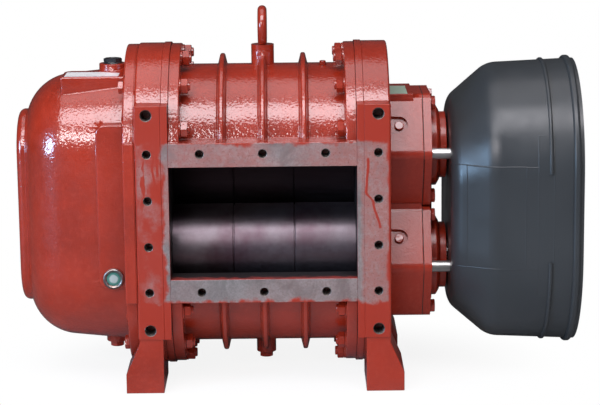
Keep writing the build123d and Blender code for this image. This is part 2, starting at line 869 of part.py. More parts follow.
def cap_outline(level):
    """Add a flange with dome, nose and bearing register about one shaft to the active part."""
    other = 2 * mid_height - level
    extrude(lobed_hexagon(x_cap), amount=cap_flange)
    with Locations((x_cap + cap_flange / 2, 0, other)):
        Box(2 * cap_flange, 4 * cap_bolt_ring_radius, shaft_spacing, mode=Mode.SUBTRACT)
    x_dome = x_cap_face + cap_dome_length
    dome = half_profile(
        (
            (x_cap, 0),
            (x_cap, cap_dome_radius),
            (x_dome - 4, cap_dome_radius),
            (x_dome, cap_nose_radius + 3),
            (x_dome, cap_nose_radius),
            (x_nose, cap_nose_radius),
            (x_nose, 0),
        ),
        level,
    )
    revolve(dome, axis=shaft_axis(level))
    register = ring_profile(
        x_bearing_end,
        x_cap,
        bearing_outer_radius - bearing_race,
        bearing_outer_radius - hole_gap / 2,
        level,
    )
    revolve(register, axis=shaft_axis(level))


for level, cap_name in ((upper, "bearing_cap_upper"), (lower, "bearing_cap_lower")):
    with BuildPart() as cap:
        cap_outline(level)
        hollow_end = x_nose - cap_nose_length
        hollow = ring_profile(x_bearing_end, hollow_end, 0, bearing_outer_radius - bearing_race, level)
        revolve(hollow, axis=shaft_axis(level), mode=Mode.SUBTRACT)
        if level == lower:
            seat = ring_profile(hollow_end, x_nose, 0, drive_seat_radius + neck_gap, level)
            revolve(seat, axis=shaft_axis(level), mode=Mode.SUBTRACT)
            seal_seat = ring_profile(
                hollow_end, hollow_end + lip_seal_width, 0, lip_seal_radius, level
            )
            revolve(seal_seat, axis=shaft_axis(level), mode=Mode.SUBTRACT)
        extrude(
            discs(x_cap, cap_bolt_radius + hole_gap, cap_bolt_centres + spacer_centres),
            amount=cap_flange,
            mode=Mode.SUBTRACT,
        )
    save(cap, cap_name)

with BuildPart() as cap_bolts:
    extrude(hexes(x_cap_face, cap_bolt_flats, cap_bolt_centres), amount=cap_bolt_head)
    extrude(discs(x_cap_face, cap_bolt_radius, cap_bolt_centres), amount=-cap_bolt_length)
save(cap_bolts, "cap_bolts")

with BuildPart() as round_plug:
    Cylinder(plug_radius, plug_height, align=(Align.CENTER, Align.CENTER, Align.MIN))
    fillet(round_plug.edges().sort_by(Axis.Z)[-1], plug_round)

with BuildPart() as housing_plugs:
    for level in shaft_levels:
        with Locations(plug_plane(level).offset(-plug_recess_depth)):
            add(round_plug.part)
save(housing_plugs, "housing_plugs")

with BuildPart() as lip_seal:
    x_lip = x_nose - cap_nose_length
    lip = ring_profile(
        x_lip, x_lip + lip_seal_width, drive_seat_radius + run_gap, lip_seal_radius, lower
    )
    revolve(lip, axis=shaft_axis(lower))
save(lip_seal, "drive_shaft_seal")

# ---- Flange studs and nuts, dowels ----
for side, end_name in ((-1, "gear"), (1, "drive")):
    x_inner_face = side * (x_chamber - casing_flange_thickness)
    with BuildPart() as nuts:
        extrude(hexes(x_inner_face, nut_flats, stud_centres), amount=-side * nut_height)
        extrude(
            discs(x_inner_face, stud_radius, stud_centres),
            amount=-side * (nut_height + stud_tail),
        )
        extrude(
            discs(x_inner_face, stud_radius, stud_centres),
            amount=side * (casing_flange_thickness + side_plate_thickness + stud_grip),
        )
    save(nuts, f"flange_bolts_{end_name}")

with BuildPart() as dowel_pins:
    for side in (-1, 1):
        dowels = discs(side * (x_chamber - dowel_grip), dowel_radius, dowel_centres)
        extrude(dowels, amount=side * dowel_length)
save(dowel_pins, "dowel_pins")

# ---- Seals and bearings ----
for end_name, side, seal_start in (("drive", 1, x_seal), ("gear", -1, x_gear_seal)):
    with BuildPart() as seals:
        for level in shaft_levels:
            seal = ring_profile(
                side * seal_start,
                side * (seal_start + seal_width),
                journal_radius + run_gap,
                seal_outer_radius,
                level,
            )
            revolve(seal, axis=shaft_axis(level))
    save(seals, f"shaft_seals_{end_name}")

bearing_places = {
    "drive": (x_bearing, x_bearing_end),
    "gear": (-x_gear_bearing, -x_gear_bearing_end),
}
inner_race = bearing_bore_radius + bearing_race
outer_race = bearing_outer_radius - bearing_race
roller_radius = (outer_race - inner_race) / 2 - ring_race_gap
roller_circle = (outer_race + inner_race) / 2
for end_name, (x_start, x_end) in bearing_places.items():
    with BuildPart() as outer_rings:
        for level in shaft_levels:
            ring = ring_profile(x_start, x_end, outer_race, bearing_outer_radius, level)
            revolve(ring, axis=shaft_axis(level))
    save(outer_rings, f"bearing_outer_rings_{end_name}")
for level, level_name in ((upper, "upper"), (lower, "lower")):
    with BuildPart() as inner_rings:
        for x_start, x_end in bearing_places.values():
            ring = ring_profile(x_start, x_end, bearing_bore_radius, inner_race, level)
            revolve(ring, axis=shaft_axis(level))
    save(inner_rings, f"bearing_inner_rings_{level_name}")
for end_name, (x_start, x_end) in bearing_places.items():
    roller_centres = shaft_polar(roller_circle, [360 * k / roller_count for k in range(roller_count)])
    inset = (x_end - x_start) * roller_inset
    with BuildPart() as rollers:
        extrude(
            discs(x_start + inset, roller_radius, roller_centres),
            amount=x_end - x_start - 2 * inset,
        )
    save(rollers, f"bearing_rollers_{end_name}")

with BuildPart() as retainers:
    for level in shaft_levels:
        plate = ring_profile(
            -x_gear_boss - retainer_thickness, -x_gear_boss, retainer_bore, retainer_radius, level
        )
        revolve(plate, axis=shaft_axis(level))
        spigot = ring_profile(
            -x_gear_boss, -x_gear_bearing_end, outer_race, bearing_outer_radius - hole_gap / 2, level
        )
        revolve(spigot, axis=shaft_axis(level))
save(retainers, "bearing_retainers")

# ---- Rotors: round heads with the waist they generate on each other ----
head_reach = chamber_radius - tip_gap + lobe_gap / 2
head_centre = (head_reach**2 - pitch_radius**2) / (2 * head_reach - sqrt(2) * pitch_radius)
head_circle = head_reach - head_centre


def waist_point(roll, clearance):
    """Point of the waist on the +90 degree side, for a roll angle from -45 to 45 degrees."""
    roll = radians(roll)
    centre_x = head_centre * cos(2 * roll) - shaft_spacing * cos(roll)
    centre_y = head_centre * sin(2 * roll) - shaft_spacing * sin(roll)
    normal_x = -pitch_radius * cos(roll) - centre_x
    normal_y = -pitch_radius * sin(roll) - centre_y
    reach = (head_circle + clearance) / sqrt(normal_x**2 + normal_y**2)
    return (centre_y + reach * normal_y, -centre_x - reach * normal_x)


def rotor_face(x, level, turn, clearance):
    """Two-lobe rotor section set in by clearance, with its lobe axis at turn degrees from +Y."""
    rolls = range(-45, 46, 15)
    waist = [waist_point(roll, clearance) for roll in rolls]
    opposite = [(-y, -z) for y, z in waist]
    tip = head_reach - clearance
    with BuildSketch(section(x, level, turn)) as outline:
        with BuildLine():
            Spline(*waist)
            ThreePointArc(waist[-1], (-tip, 0), opposite[0])
            Spline(*opposite)
            ThreePointArc(opposite[-1], (tip, 0), waist[0])
        make_face()
        Circle(rotor_bore_radius, mode=Mode.SUBTRACT)
    return outline.sketch


x_rotor = x_chamber - end_gap
segment = 2 * x_rotor / 3
lobe_turns = {lower: -rest_turn, upper: 90 + rest_turn}
for level, level_name in ((upper, "upper"), (lower, "lower")):
    turn = lobe_turns[level]
    with BuildPart() as rotor:
        for k in range(3):
            x_start = -x_rotor + k * segment + (rotor_groove_width / 2 if k else 0)
            x_stop = -x_rotor + (k + 1) * segment - (rotor_groove_width / 2 if k < 2 else 0)
            extrude(rotor_face(x_start, level, turn, lobe_gap / 2), amount=x_stop - x_start)
        core_length = segment + 2 * rotor_groove_width
        core = rotor_face(-core_length / 2, level, turn, lobe_gap / 2 + rotor_groove_depth)
        extrude(core, amount=core_length)
    save(rotor, f"rotor_{level_name}")

# ---- Shafts ----
circlip_seat = bearing_bore_radius - circlip_depth
x_shoulder = x_bearing_end + shaft_overrun
for level, level_name in ((upper, "upper"), (lower, "lower")):
    steps = [
        (-x_washer_end - locknut_width - shaft_overrun, nut_seat_radius),
        (-x_washer_end, nut_seat_radius),
        (-x_washer_end, gear_seat_radius),
        (-x_gear_bearing_end, gear_seat_radius),
        (-x_gear_bearing_end, bearing_bore_radius),
        (-x_gear_bearing, bearing_bore_radius),
        (-x_gear_bearing, journal_radius),
        (-x_rotor, journal_radius),
        (-x_rotor, rotor_bore_radius),
        (x_rotor, rotor_bore_radius),
        (x_rotor, journal_radius),
        (x_bearing, journal_radius),
        (x_bearing, bearing_bore_radius),
        (x_bearing_end, bearing_bore_radius),
        (x_bearing_end, circlip_seat),
        (x_bearing_end + circlip_width, circlip_seat),
        (x_bearing_end + circlip_width, bearing_bore_radius),
        (x_shoulder, bearing_bore_radius),
    ]
    if level == lower:
        x_spline = shaft_end_x - spline_length
        steps += [
            (x_shoulder, drive_seat_radius),
            (x_spline, drive_seat_radius),
            (x_spline, 0),
        ]
    else:
        steps.append((x_shoulder, 0))
    steps.append((steps[0][0], 0))
    with BuildPart() as shaft:
        revolve(half_profile(steps, level), axis=shaft_axis(level))
        if level == lower:
            with BuildSketch(section(x_spline, level)) as spline:
                Circle(spline_major_radius)
                gap_width = 2 * spline_minor_radius * sin(radians(30)) - spline_tooth / 2
                with PolarLocations((spline_major_radius + spline_minor_radius) / 2 + 1, 6, 30):
                    Rectangle(
                        spline_major_radius - spline_minor_radius + 2,
                        gap_width,
                        mode=Mode.SUBTRACT,
                    )
            extrude(spline.sketch, amount=spline_length)
            x_lock = shaft_end_x - spline_groove_from_end
            lock = ring_profile(
                x_lock - spline_groove,
                x_lock,
                spline_minor_radius,
                spline_major_radius + 1,
                level,
            )
            revolve(lock, axis=shaft_axis(level), mode=Mode.SUBTRACT)
        with Locations((-(x_gear + gear_width / 2), 0, level + gear_seat_radius)):
            Box(key_length, key_width, key_height, mode=Mode.SUBTRACT)
    save(shaft, f"shaft_{level_name}")

    with BuildPart() as key:
        with Locations((-(x_gear + gear_width / 2), 0, level + gear_seat_radius)):
            Box(key_length, key_width, key_height)
    save(key, f"gear_key_{level_name}")

    with BuildPart() as circlip:
        clip = ring_profile(
            x_bearing_end,
            x_bearing_end + circlip_width,
            circlip_seat,
            circlip_seat + circlip_height,
            level,
        )
        revolve(clip, axis=shaft_axis(level))
    save(circlip, f"circlip_{level_name}")

    with BuildPart() as locknut:
        nut = ring_profile(
            -x_washer_end - locknut_width, -x_washer_end, nut_seat_radius, locknut_radius, level
        )
        revolve(nut, axis=shaft_axis(level))
    save(locknut, f"locknut_{level_name}")

with BuildPart() as slinger:
    disc = ring_profile(-x_washer_end, -x_gear_end, gear_seat_radius, slinger_radius, lower)
    revolve(disc, axis=shaft_axis(lower))
save(slinger, "oil_slinger")

with BuildPart() as washer:
    disc = ring_profile(-x_washer_end, -x_gear_end, gear_seat_radius, washer_radius, upper)
    revolve(disc, axis=shaft_axis(upper))
save(washer, "gear_washer_upper")

# ---- Timing gears: involute teeth on a webbed blank ----
module = shaft_spacing / gear_teeth
base_radius = pitch_radius * cos(radians(pressure_angle))
tooth_tip_radius = pitch_radius + module
tooth_root_radius = pitch_radius - 1.25 * module


def involute(angle):
    """Involute of a pressure angle in radians."""
    return tan(angle) - angle


def flank_angle(radius):
    """Half the angle of a tooth at a radius, in radians."""
    at_radius = acos(min(1, base_radius / max(radius, base_radius)))
    half_pitch_tooth = (pi * module / 2 - gear_backlash / 2) / (2 * pitch_radius)
    return half_pitch_tooth + involute(radians(pressure_angle)) - involute(at_radius)


def gear_face(x, level, first_tooth):
    """Spur gear outline with one tooth centred first_tooth degrees from +Y."""
    reach = [base_radius + (tooth_tip_radius - base_radius) * k / 3 for k in range(4)]
    pitch = 2 * pi / gear_teeth

    def at(radius, angle):
        return (radius * cos(angle), radius * sin(angle))

    with BuildSketch(section(x, level, first_tooth)) as outline:
        with BuildLine():
            for tooth in range(gear_teeth):
                centre = tooth * pitch
                rise = [at(r, centre - flank_angle(r)) for r in reach]
                fall = [at(r, centre + flank_angle(r)) for r in reversed(reach)]
                foot = at(tooth_root_radius, centre - flank_angle(base_radius))
                heel = at(tooth_root_radius, centre + flank_angle(base_radius))
                next_foot = at(tooth_root_radius, centre + pitch - flank_angle(base_radius))
                Line(foot, rise[0])
                Spline(*rise)
                ThreePointArc(rise[-1], at(tooth_tip_radius, centre), fall[0])
                Spline(*fall)
                Line(fall[-1], heel)
                ThreePointArc(heel, at(tooth_root_radius, centre + pitch / 2), next_foot)
        make_face()
        Circle(gear_seat_radius, mode=Mode.SUBTRACT)
    return outline.sketch


first_teeth = {lower: 90.0, upper: 270.0 + 180.0 / gear_teeth}
for level, level_name in ((upper, "upper"), (lower, "lower")):
    with BuildPart() as gear:
        extrude(gear_face(-x_gear_end, level, first_teeth[level]), amount=gear_width)
        recess = (gear_width - gear_web) / 2
        for x_start in (-x_gear_end, -x_gear - recess):
            groove = ring_profile(
                x_start, x_start + recess, gear_hub_radius, tooth_root_radius - gear_rim, level
            )
            revolve(groove, axis=shaft_axis(level), mode=Mode.SUBTRACT)
        with Locations((-(x_gear + gear_width / 2), 0, level + gear_seat_radius)):
            Box(key_length, key_width, key_height, mode=Mode.SUBTRACT)
    save(gear, f"timing_gear_{level_name}")

# ---- Guard: oblong bell shaped shell, open at the drive end ----
def oblong(x, half_height, half_depth):
    """Upright oblong face about the mid level."""
    with BuildSketch(section(x)) as outline:
        SlotOverall(2 * half_height, 2 * half_depth, rotation=90)
    return outline.sketch


def guard_body(bell, inset):
    """Add a solid bell of three oblong sections, set in by inset, to a part."""
    half_sizes = []
    for back, shoulder, mouth in (
        (guard_back_height, guard_shoulder_height, guard_mouth_height),
        (guard_back_depth, guard_shoulder_depth, guard_mouth_depth),
    ):
        grade = (shoulder - back) / guard_shoulder_x
        half_sizes.append((back + inset * (grade - sqrt(1 + grade**2)), shoulder - inset, mouth - inset))
    stations = (x_guard + inset, x_guard + guard_shoulder_x + inset / 3, x_guard + guard_length)
    faces = [oblong(x, height, depth).face() for x, height, depth in zip(stations, *half_sizes)]
    for start, stop in zip(faces, faces[1:]):
        loft([start, stop], ruled=True)
    for x, bell_round in zip(stations, (guard_back_round, guard_shoulder_round)):
        fillet(bell.edges().filter_by_position(Axis.X, x, x), bell_round - inset)


def guard_band(x, rise, width, gap):
    """Rounded band outside the bell, left out on the front and back within gap of the middle."""
    fraction = (x - guard_shoulder_x) / (guard_length - guard_shoulder_x)
    height = guard_shoulder_height + fraction * (guard_mouth_height - guard_shoulder_height)
    depth = guard_shoulder_depth + fraction * (guard_mouth_depth - guard_shoulder_depth)
    with BuildPart() as band:
        extrude(oblong(x_guard + x - width / 2, height + rise, depth + rise), amount=width)
        fillet(band.edges(), 0.8 * min(rise, width / 2))
        root = oblong(x_guard + x - width / 2, height - guard_wall / 2, depth - guard_wall / 2)
        extrude(root, amount=width, mode=Mode.SUBTRACT)
        if gap:
            with Locations((x_guard + x, 0, mid_height)):
                Box(2 * width, 4 * depth, 2 * gap, mode=Mode.SUBTRACT)
    return band.part


with BuildPart() as guard_cavity:
    guard_body(guard_cavity, guard_wall)

with BuildPart() as guard:
    guard_body(guard, 0)
    add(guard_cavity.part, mode=Mode.SUBTRACT)
    add(guard_band(guard_bead_x, guard_bead, guard_bead_width, guard_bead_gap))
    add(guard_band(guard_rim_x, guard_rim, guard_rim_width, 0))
    with BuildSketch(Plane.XY.offset(mid_height)) as slot:
        with Locations((x_guard + guard_slot_x, 0)):
            SlotOverall(guard_slot_length, guard_slot_width)
    extrude(slot.sketch, amount=guard_mouth_height, mode=Mode.SUBTRACT)
    extrude(
        discs(x_guard, drive_seat_radius + guard_shaft_gap, ((0, -shaft_spacing / 2),)),
        amount=guard_wall,
        mode=Mode.SUBTRACT,
    )
    extrude(
        discs(x_guard, guard_screw_radius + hole_gap, spacer_centres),
        amount=guard_wall,
        mode=Mode.SUBTRACT,
    )
save(guard, "guard")

with BuildPart() as spacers:
    extrude(discs(x_cap_face, spacer_radius, spacer_centres), amount=spacer_length)
    extrude(discs(x_cap_face, cap_bolt_radius, spacer_centres), amount=-cap_bolt_length)
    extrude(
        discs(x_guard, guard_screw_radius + hole_gap, spacer_centres),
        amount=guard_wall - guard_screw_length - 1,
        mode=Mode.SUBTRACT,
    )
save(spacers, "guard_spacers")

with BuildPart() as guard_screws:
    x_inside = x_guard + guard_wall
    extrude(discs(x_inside, guard_screw_head, spacer_centres), amount=guard_screw_head_height)
    extrude(discs(x_inside, guard_screw_radius, spacer_centres), amount=-guard_screw_length)
save(guard_screws, "guard_screws")

# ---- Eye bolt ----
eye_seat = upper + rib_radius + lift_boss_rise
with BuildPart() as eye_bolt:
    with Locations((0, 0, eye_seat)):
        Cylinder(eye_collar_radius, eye_collar_height, align=(Align.CENTER, Align.CENTER, Align.MIN))
        Cylinder(eye_shank_radius, eye_shank_length, align=(Align.CENTER, Align.CENTER, Align.MAX))
    eye_centre = eye_seat + eye_collar_height + eye_ring_radius + eye_ring_thickness / 2
    with Locations(Location((0, 0, eye_centre), (0, 90, eye_turn))):
        Torus(eye_ring_radius, eye_ring_thickness)
save(eye_bolt, "eye_bolt")
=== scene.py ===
"""Looks of a rotary lobe blower with a bell shaped drive guard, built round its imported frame."""
import json
import logging
from collections.abc import Callable, Iterable, Sequence
from dataclasses import dataclass
from enum import Enum
from math import atan2, cos, hypot, pi, radians, sin, tan
from typing import ClassVar

import bmesh
import bpy
from mathutils import Matrix, Vector


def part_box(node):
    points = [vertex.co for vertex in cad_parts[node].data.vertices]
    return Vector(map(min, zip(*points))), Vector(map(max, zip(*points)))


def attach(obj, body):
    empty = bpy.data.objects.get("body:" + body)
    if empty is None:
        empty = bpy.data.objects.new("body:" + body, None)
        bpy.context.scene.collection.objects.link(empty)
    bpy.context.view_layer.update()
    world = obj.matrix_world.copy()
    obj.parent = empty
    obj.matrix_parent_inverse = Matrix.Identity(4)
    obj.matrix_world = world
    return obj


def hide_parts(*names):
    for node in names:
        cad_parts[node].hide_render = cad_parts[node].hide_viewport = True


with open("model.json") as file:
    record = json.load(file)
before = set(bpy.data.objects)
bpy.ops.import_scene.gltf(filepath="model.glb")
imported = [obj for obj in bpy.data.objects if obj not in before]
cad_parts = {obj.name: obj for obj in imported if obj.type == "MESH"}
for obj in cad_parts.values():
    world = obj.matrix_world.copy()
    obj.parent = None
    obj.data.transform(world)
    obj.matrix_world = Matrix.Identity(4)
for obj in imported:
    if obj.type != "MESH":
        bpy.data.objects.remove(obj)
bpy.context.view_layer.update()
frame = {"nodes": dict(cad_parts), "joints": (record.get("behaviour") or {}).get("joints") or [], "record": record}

LOG = logging.getLogger("blower")
Pair = tuple[float, float]
Triple = tuple[float, float, float]
Colour = Triple
Socket = bpy.types.NodeSocket
Node = bpy.types.Node
Material = bpy.types.Material
BMesh = bmesh.types.BMesh
BMEdge = bmesh.types.BMEdge
MM = 0.001
WHITE = (1.0, 1.0, 1.0)


class Body(Enum):
    """The rigid bodies that pieces ride on."""

    HOUSING = "housing"
    DRIVE = "drive_rotor"
    DRIVEN = "driven_rotor"


class Slot(Enum):
    """Material slots of the record."""

    PAINT = "red_paint"
    ROTOR = "rotor_steel"
    SHAFT = "shaft_steel"
    BEARING = "bearing_steel"
    ZINC = "zinc_plate"
    GUARD = "guard_plastic"
    BLACK = "black_plastic"
    RUBBER = "seal_rubber"
    GASKET = "gasket_paper"
    GLASS = "sight_glass"


class Skin(Enum):
    """Places of the finishes on the castings that carry the joint faces."""

    PAINT = 0
    JOINT = 1
    PORT = 2
    BORE = 3
    THREAD = 4
    FINE = 5


class Form(Enum):
    """Outlines of a ring of a turned solid, seen along its axis."""

    ROUND = 0
    HEX = 1
    CONE = 2


@dataclass(frozen=True)
class Layout:
    """Stations of the machine, read from the frame.

    X runs along the shafts towards the drive end, -Y is the inlet side and Z is up.
    """

    lower: float
    upper: float
    chamber: float
    port_y: float

    @property
    def middle(self) -> float:
        """Level halfway between the shafts."""
        return (self.lower + self.upper) / 2

    @classmethod
    def from_frame(cls) -> "Layout":
        """Read the stations from the joints and the casing's box."""
        lower, upper = sorted(joint["pos_m"][2] for joint in frame["joints"])
        low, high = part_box("casing")
        return cls(lower, upper, high.x, -low.y)


PLAN = Layout.from_frame()


# ---------------------------------------------------------------- finishes
class Graph:
    """Node tree of a material or a world, with shorthands for its nodes."""

    def __init__(self, tree: bpy.types.NodeTree) -> None:
        """Take over a tree and empty it."""
        self.tree = tree
        tree.nodes.clear()

    def add(self, kind: str, inputs: dict | None = None, **settings: object) -> Node:
        """Add a node.

        Args:
            kind: Its type.
            inputs: What its inputs are fed, by name or number.
            **settings: Its plain attributes, set first.

        Returns:
            The new node.
        """
        node = self.tree.nodes.new(kind)
        for key, value in settings.items():
            setattr(node, key, value)
        for key, value in (inputs or {}).items():
            self.feed(node.inputs[key], value)
        return node

    def feed(self, target: Socket, value: object) -> None:
        """Give a socket a constant or a link.

        Args:
            target: The input socket.
            value: A number, a colour, a vector or an output socket.
        """
        if isinstance(value, Socket):
            self.tree.links.new(value, target)
        elif target.type == "RGBA":
            target.default_value = (*value, 1.0)
        else:
            target.default_value = value

    def maths(self, operation: str, first: object, *others: object) -> Socket:
        """Return the result of a math operation.

        Args:
            operation: Type of its nodes.
            first: Its first value.
            *others: Values taken in from left to right, or none for a function of one value.

        Returns:
            The result's socket.
        """
        for second in [{1: other} for other in others] or [{}]:
            node = self.add("ShaderNodeMath", {0: first, **second}, operation=operation)
            first = node.outputs[0]
        return first

    def times(self, *values: object) -> Socket:
        """Return the product of values."""
        return self.maths("MULTIPLY", *values)

    def plus(self, *values: object) -> Socket:
        """Return the sum of values."""
        return self.maths("ADD", *values)

    def minus(self, first: object, second: object) -> Socket:
        """Return the difference of two values."""
        return self.maths("SUBTRACT", first, second)

    def most(self, *values: object) -> Socket:
        """Return the largest of values."""
        return self.maths("MAXIMUM", *values)

    def gap(self, value: object, middle: object) -> Socket:
        """Return how far a value is from a middle, to either side."""
        return self.maths("ABSOLUTE", self.minus(value, middle))

    def steps(
        self, value: Socket, low: float, high: float, out_low: float = 0.0, out_high: float = 1.0
    ) -> Socket:
        """Map a range of a value to another range with a soft, clamped step.

        Args:
            value: The value.
            low: Start of its range.
            high: End of its range, above or below the start.
            out_low: Result up to the start.
            out_high: Result from the end on.

        Returns:
            The result's socket.
        """
        inputs = {"From Min": low, "From Max": high, "To Min": out_low, "To Max": out_high}
        inputs["Value"] = value
        node = self.add("ShaderNodeMapRange", inputs, interpolation_type="SMOOTHSTEP")
        return node.outputs["Result"]

    def either(self, share: Socket, first: Node, second: Node) -> Node:
        """Return a node that mixes the shaders of two nodes by the second one's share."""
        shaders = {"Fac": share, 1: first.outputs[0], 2: second.outputs[0]}
        return self.add("ShaderNodeMixShader", shaders)


class Shader(Graph):
    """Material with a Principled surface, whose patterns read object coordinates."""

    def __init__(self, name: str) -> None:
        """Start a material of a name."""
        self.material = bpy.data.materials.new(name)
        self.material.use_nodes = True
        super().__init__(self.material.node_tree)
        self.surface = self.add("ShaderNodeBsdfPrincipled")
        self.add("ShaderNodeOutputMaterial", {"Surface": self.surface.outputs[0]})
        self.coordinates = self.add("ShaderNodeTexCoord").outputs["Object"]

    def noise(
        self, scale: float, detail: float = 3.0, roughness: float = 0.55,
        stretch: Triple | None = None, distortion: float = 0.0,
    ) -> Socket:
        """Return the factor of a noise texture.

        Args:
            scale: Features per metre.
            detail: Octaves.
            roughness: Share kept from octave to octave.
            stretch: Scale of each axis before the noise.
            distortion: Swirl of the pattern.

        Returns:
            The texture's factor socket.
        """
        source = self.coordinates
        if stretch is not None:
            mapping = self.add("ShaderNodeMapping", {"Vector": source, "Scale": stretch})
            source = mapping.outputs["Vector"]
        look = {"Scale": scale, "Detail": detail, "Roughness": roughness, "Distortion": distortion}
        return self.add("ShaderNodeTexNoise", {"Vector": source, **look}).outputs["Fac"]

    def wander(self, noise: Socket, span: float) -> Socket:
        """Return a noise that wanders about 0 within a span."""
        return self.times(self.minus(noise, 0.5), span)

    def blend(self, factor: object, first: object, second: object) -> Socket:
        """Return a colour mixed from two; inputs 6 and 7 and output 2 are a mix node's colours."""
        node = self.add("ShaderNodeMix", {"Factor": factor, 6: first, 7: second}, data_type="RGBA")
        return node.outputs[2]

    def axis(self, name: str) -> Socket:
        """Return one object coordinate, by its letter."""
        return self.add("ShaderNodeSeparateXYZ", {0: self.coordinates}).outputs[name]

    def bump(self, height: Socket, distance: float, below: Socket | None = None) -> Socket:
        """Return a normal bumped by a height, on top of another bump.

        Args:
            height: Height pattern from 0 to 1.
            distance: Height of 1, in metres.
            below: Normal to start from.

        Returns:
            The new normal.
        """
        inputs = {"Distance": distance, "Strength": 1.0, "Height": height}
        if below is not None:
            inputs["Normal"] = below
        return self.add("ShaderNodeBump", inputs).outputs["Normal"]

    def set(self, **sockets: object) -> None:
        """Set sockets of the Principled surface; underscores stand for spaces."""
        for key, value in sockets.items():
            self.feed(self.surface.inputs[key.replace("_", " ")], value)


def toned(colour: Colour, share: float) -> Colour:
    """Return a colour made darker or lighter."""
    return tuple(min(1.0, share * part) for part in colour)


@dataclass(frozen=True)
class Finish:
    """Named finish, whose material is built once."""

    made: ClassVar[dict[str, Material]] = {}
    name: str

    def paint(self, s: Shader) -> None:
        """Wire the finish into a material.

        Args:
            s: The material under construction.
        """
        raise NotImplementedError

    def material(self) -> Material:
        """Return the material, built when it is first asked for."""
        if self.name not in self.made:
            shader = Shader(self.name)
            self.paint(shader)
            self.made[self.name] = shader.material
        return self.made[self.name]


@dataclass(frozen=True)
class Enamel(Finish):
    """Oxide red enamel over a cast or machined skin.

    The casting grain and the orange peel of the paint are two bumps of their own sizes.
    """

    colour: Colour = (0.300, 0.020, 0.006)
    shade: Colour = (0.225, 0.014, 0.004)
    dust: Colour = (0.38, 0.045, 0.022)
    dusty: float = 0.25
    roughness: float = 0.34
    grain: float = 330.0
    grain_depth: float = 0.35 * MM
    peel: float = 300.0
    peel_depth: float = 0.50 * MM
    wave: float = 60.0
    wave_depth: float = 0.5 * MM
    coat: float = 0.9
    coat_roughness: float = 0.08
    coat_ior: float = 1.75
    specular: float = 0.25

    def paint(self, s: Shader) -> None:
        """Wire the finish into a material."""
        patches = s.steps(s.noise(9.0, 4.0), 0.35, 0.7)
        fine = s.steps(s.noise(150.0), 0.45, 0.8)
        base = s.blend(patches, self.shade, self.colour)
        base = s.blend(s.times(fine, self.dusty), base, self.dust)
        rough = s.steps(s.noise(60.0), 0.3, 0.7, self.roughness - 0.06, self.roughness + 0.10)
        skin = s.bump(s.noise(self.wave, 2.0), self.wave_depth)
        skin = s.bump(s.noise(self.grain, 2.5, 0.6), self.grain_depth, skin)
        peel = s.bump(s.noise(self.peel, 1.5, 0.5), self.peel_depth)
        s.set(Base_Color=base, Roughness=rough, Normal=skin, Specular_IOR_Level=self.specular)
        s.set(Coat_Weight=self.coat, Coat_Roughness=self.coat_roughness)
        s.set(Coat_IOR=self.coat_ior, Coat_Normal=peel)


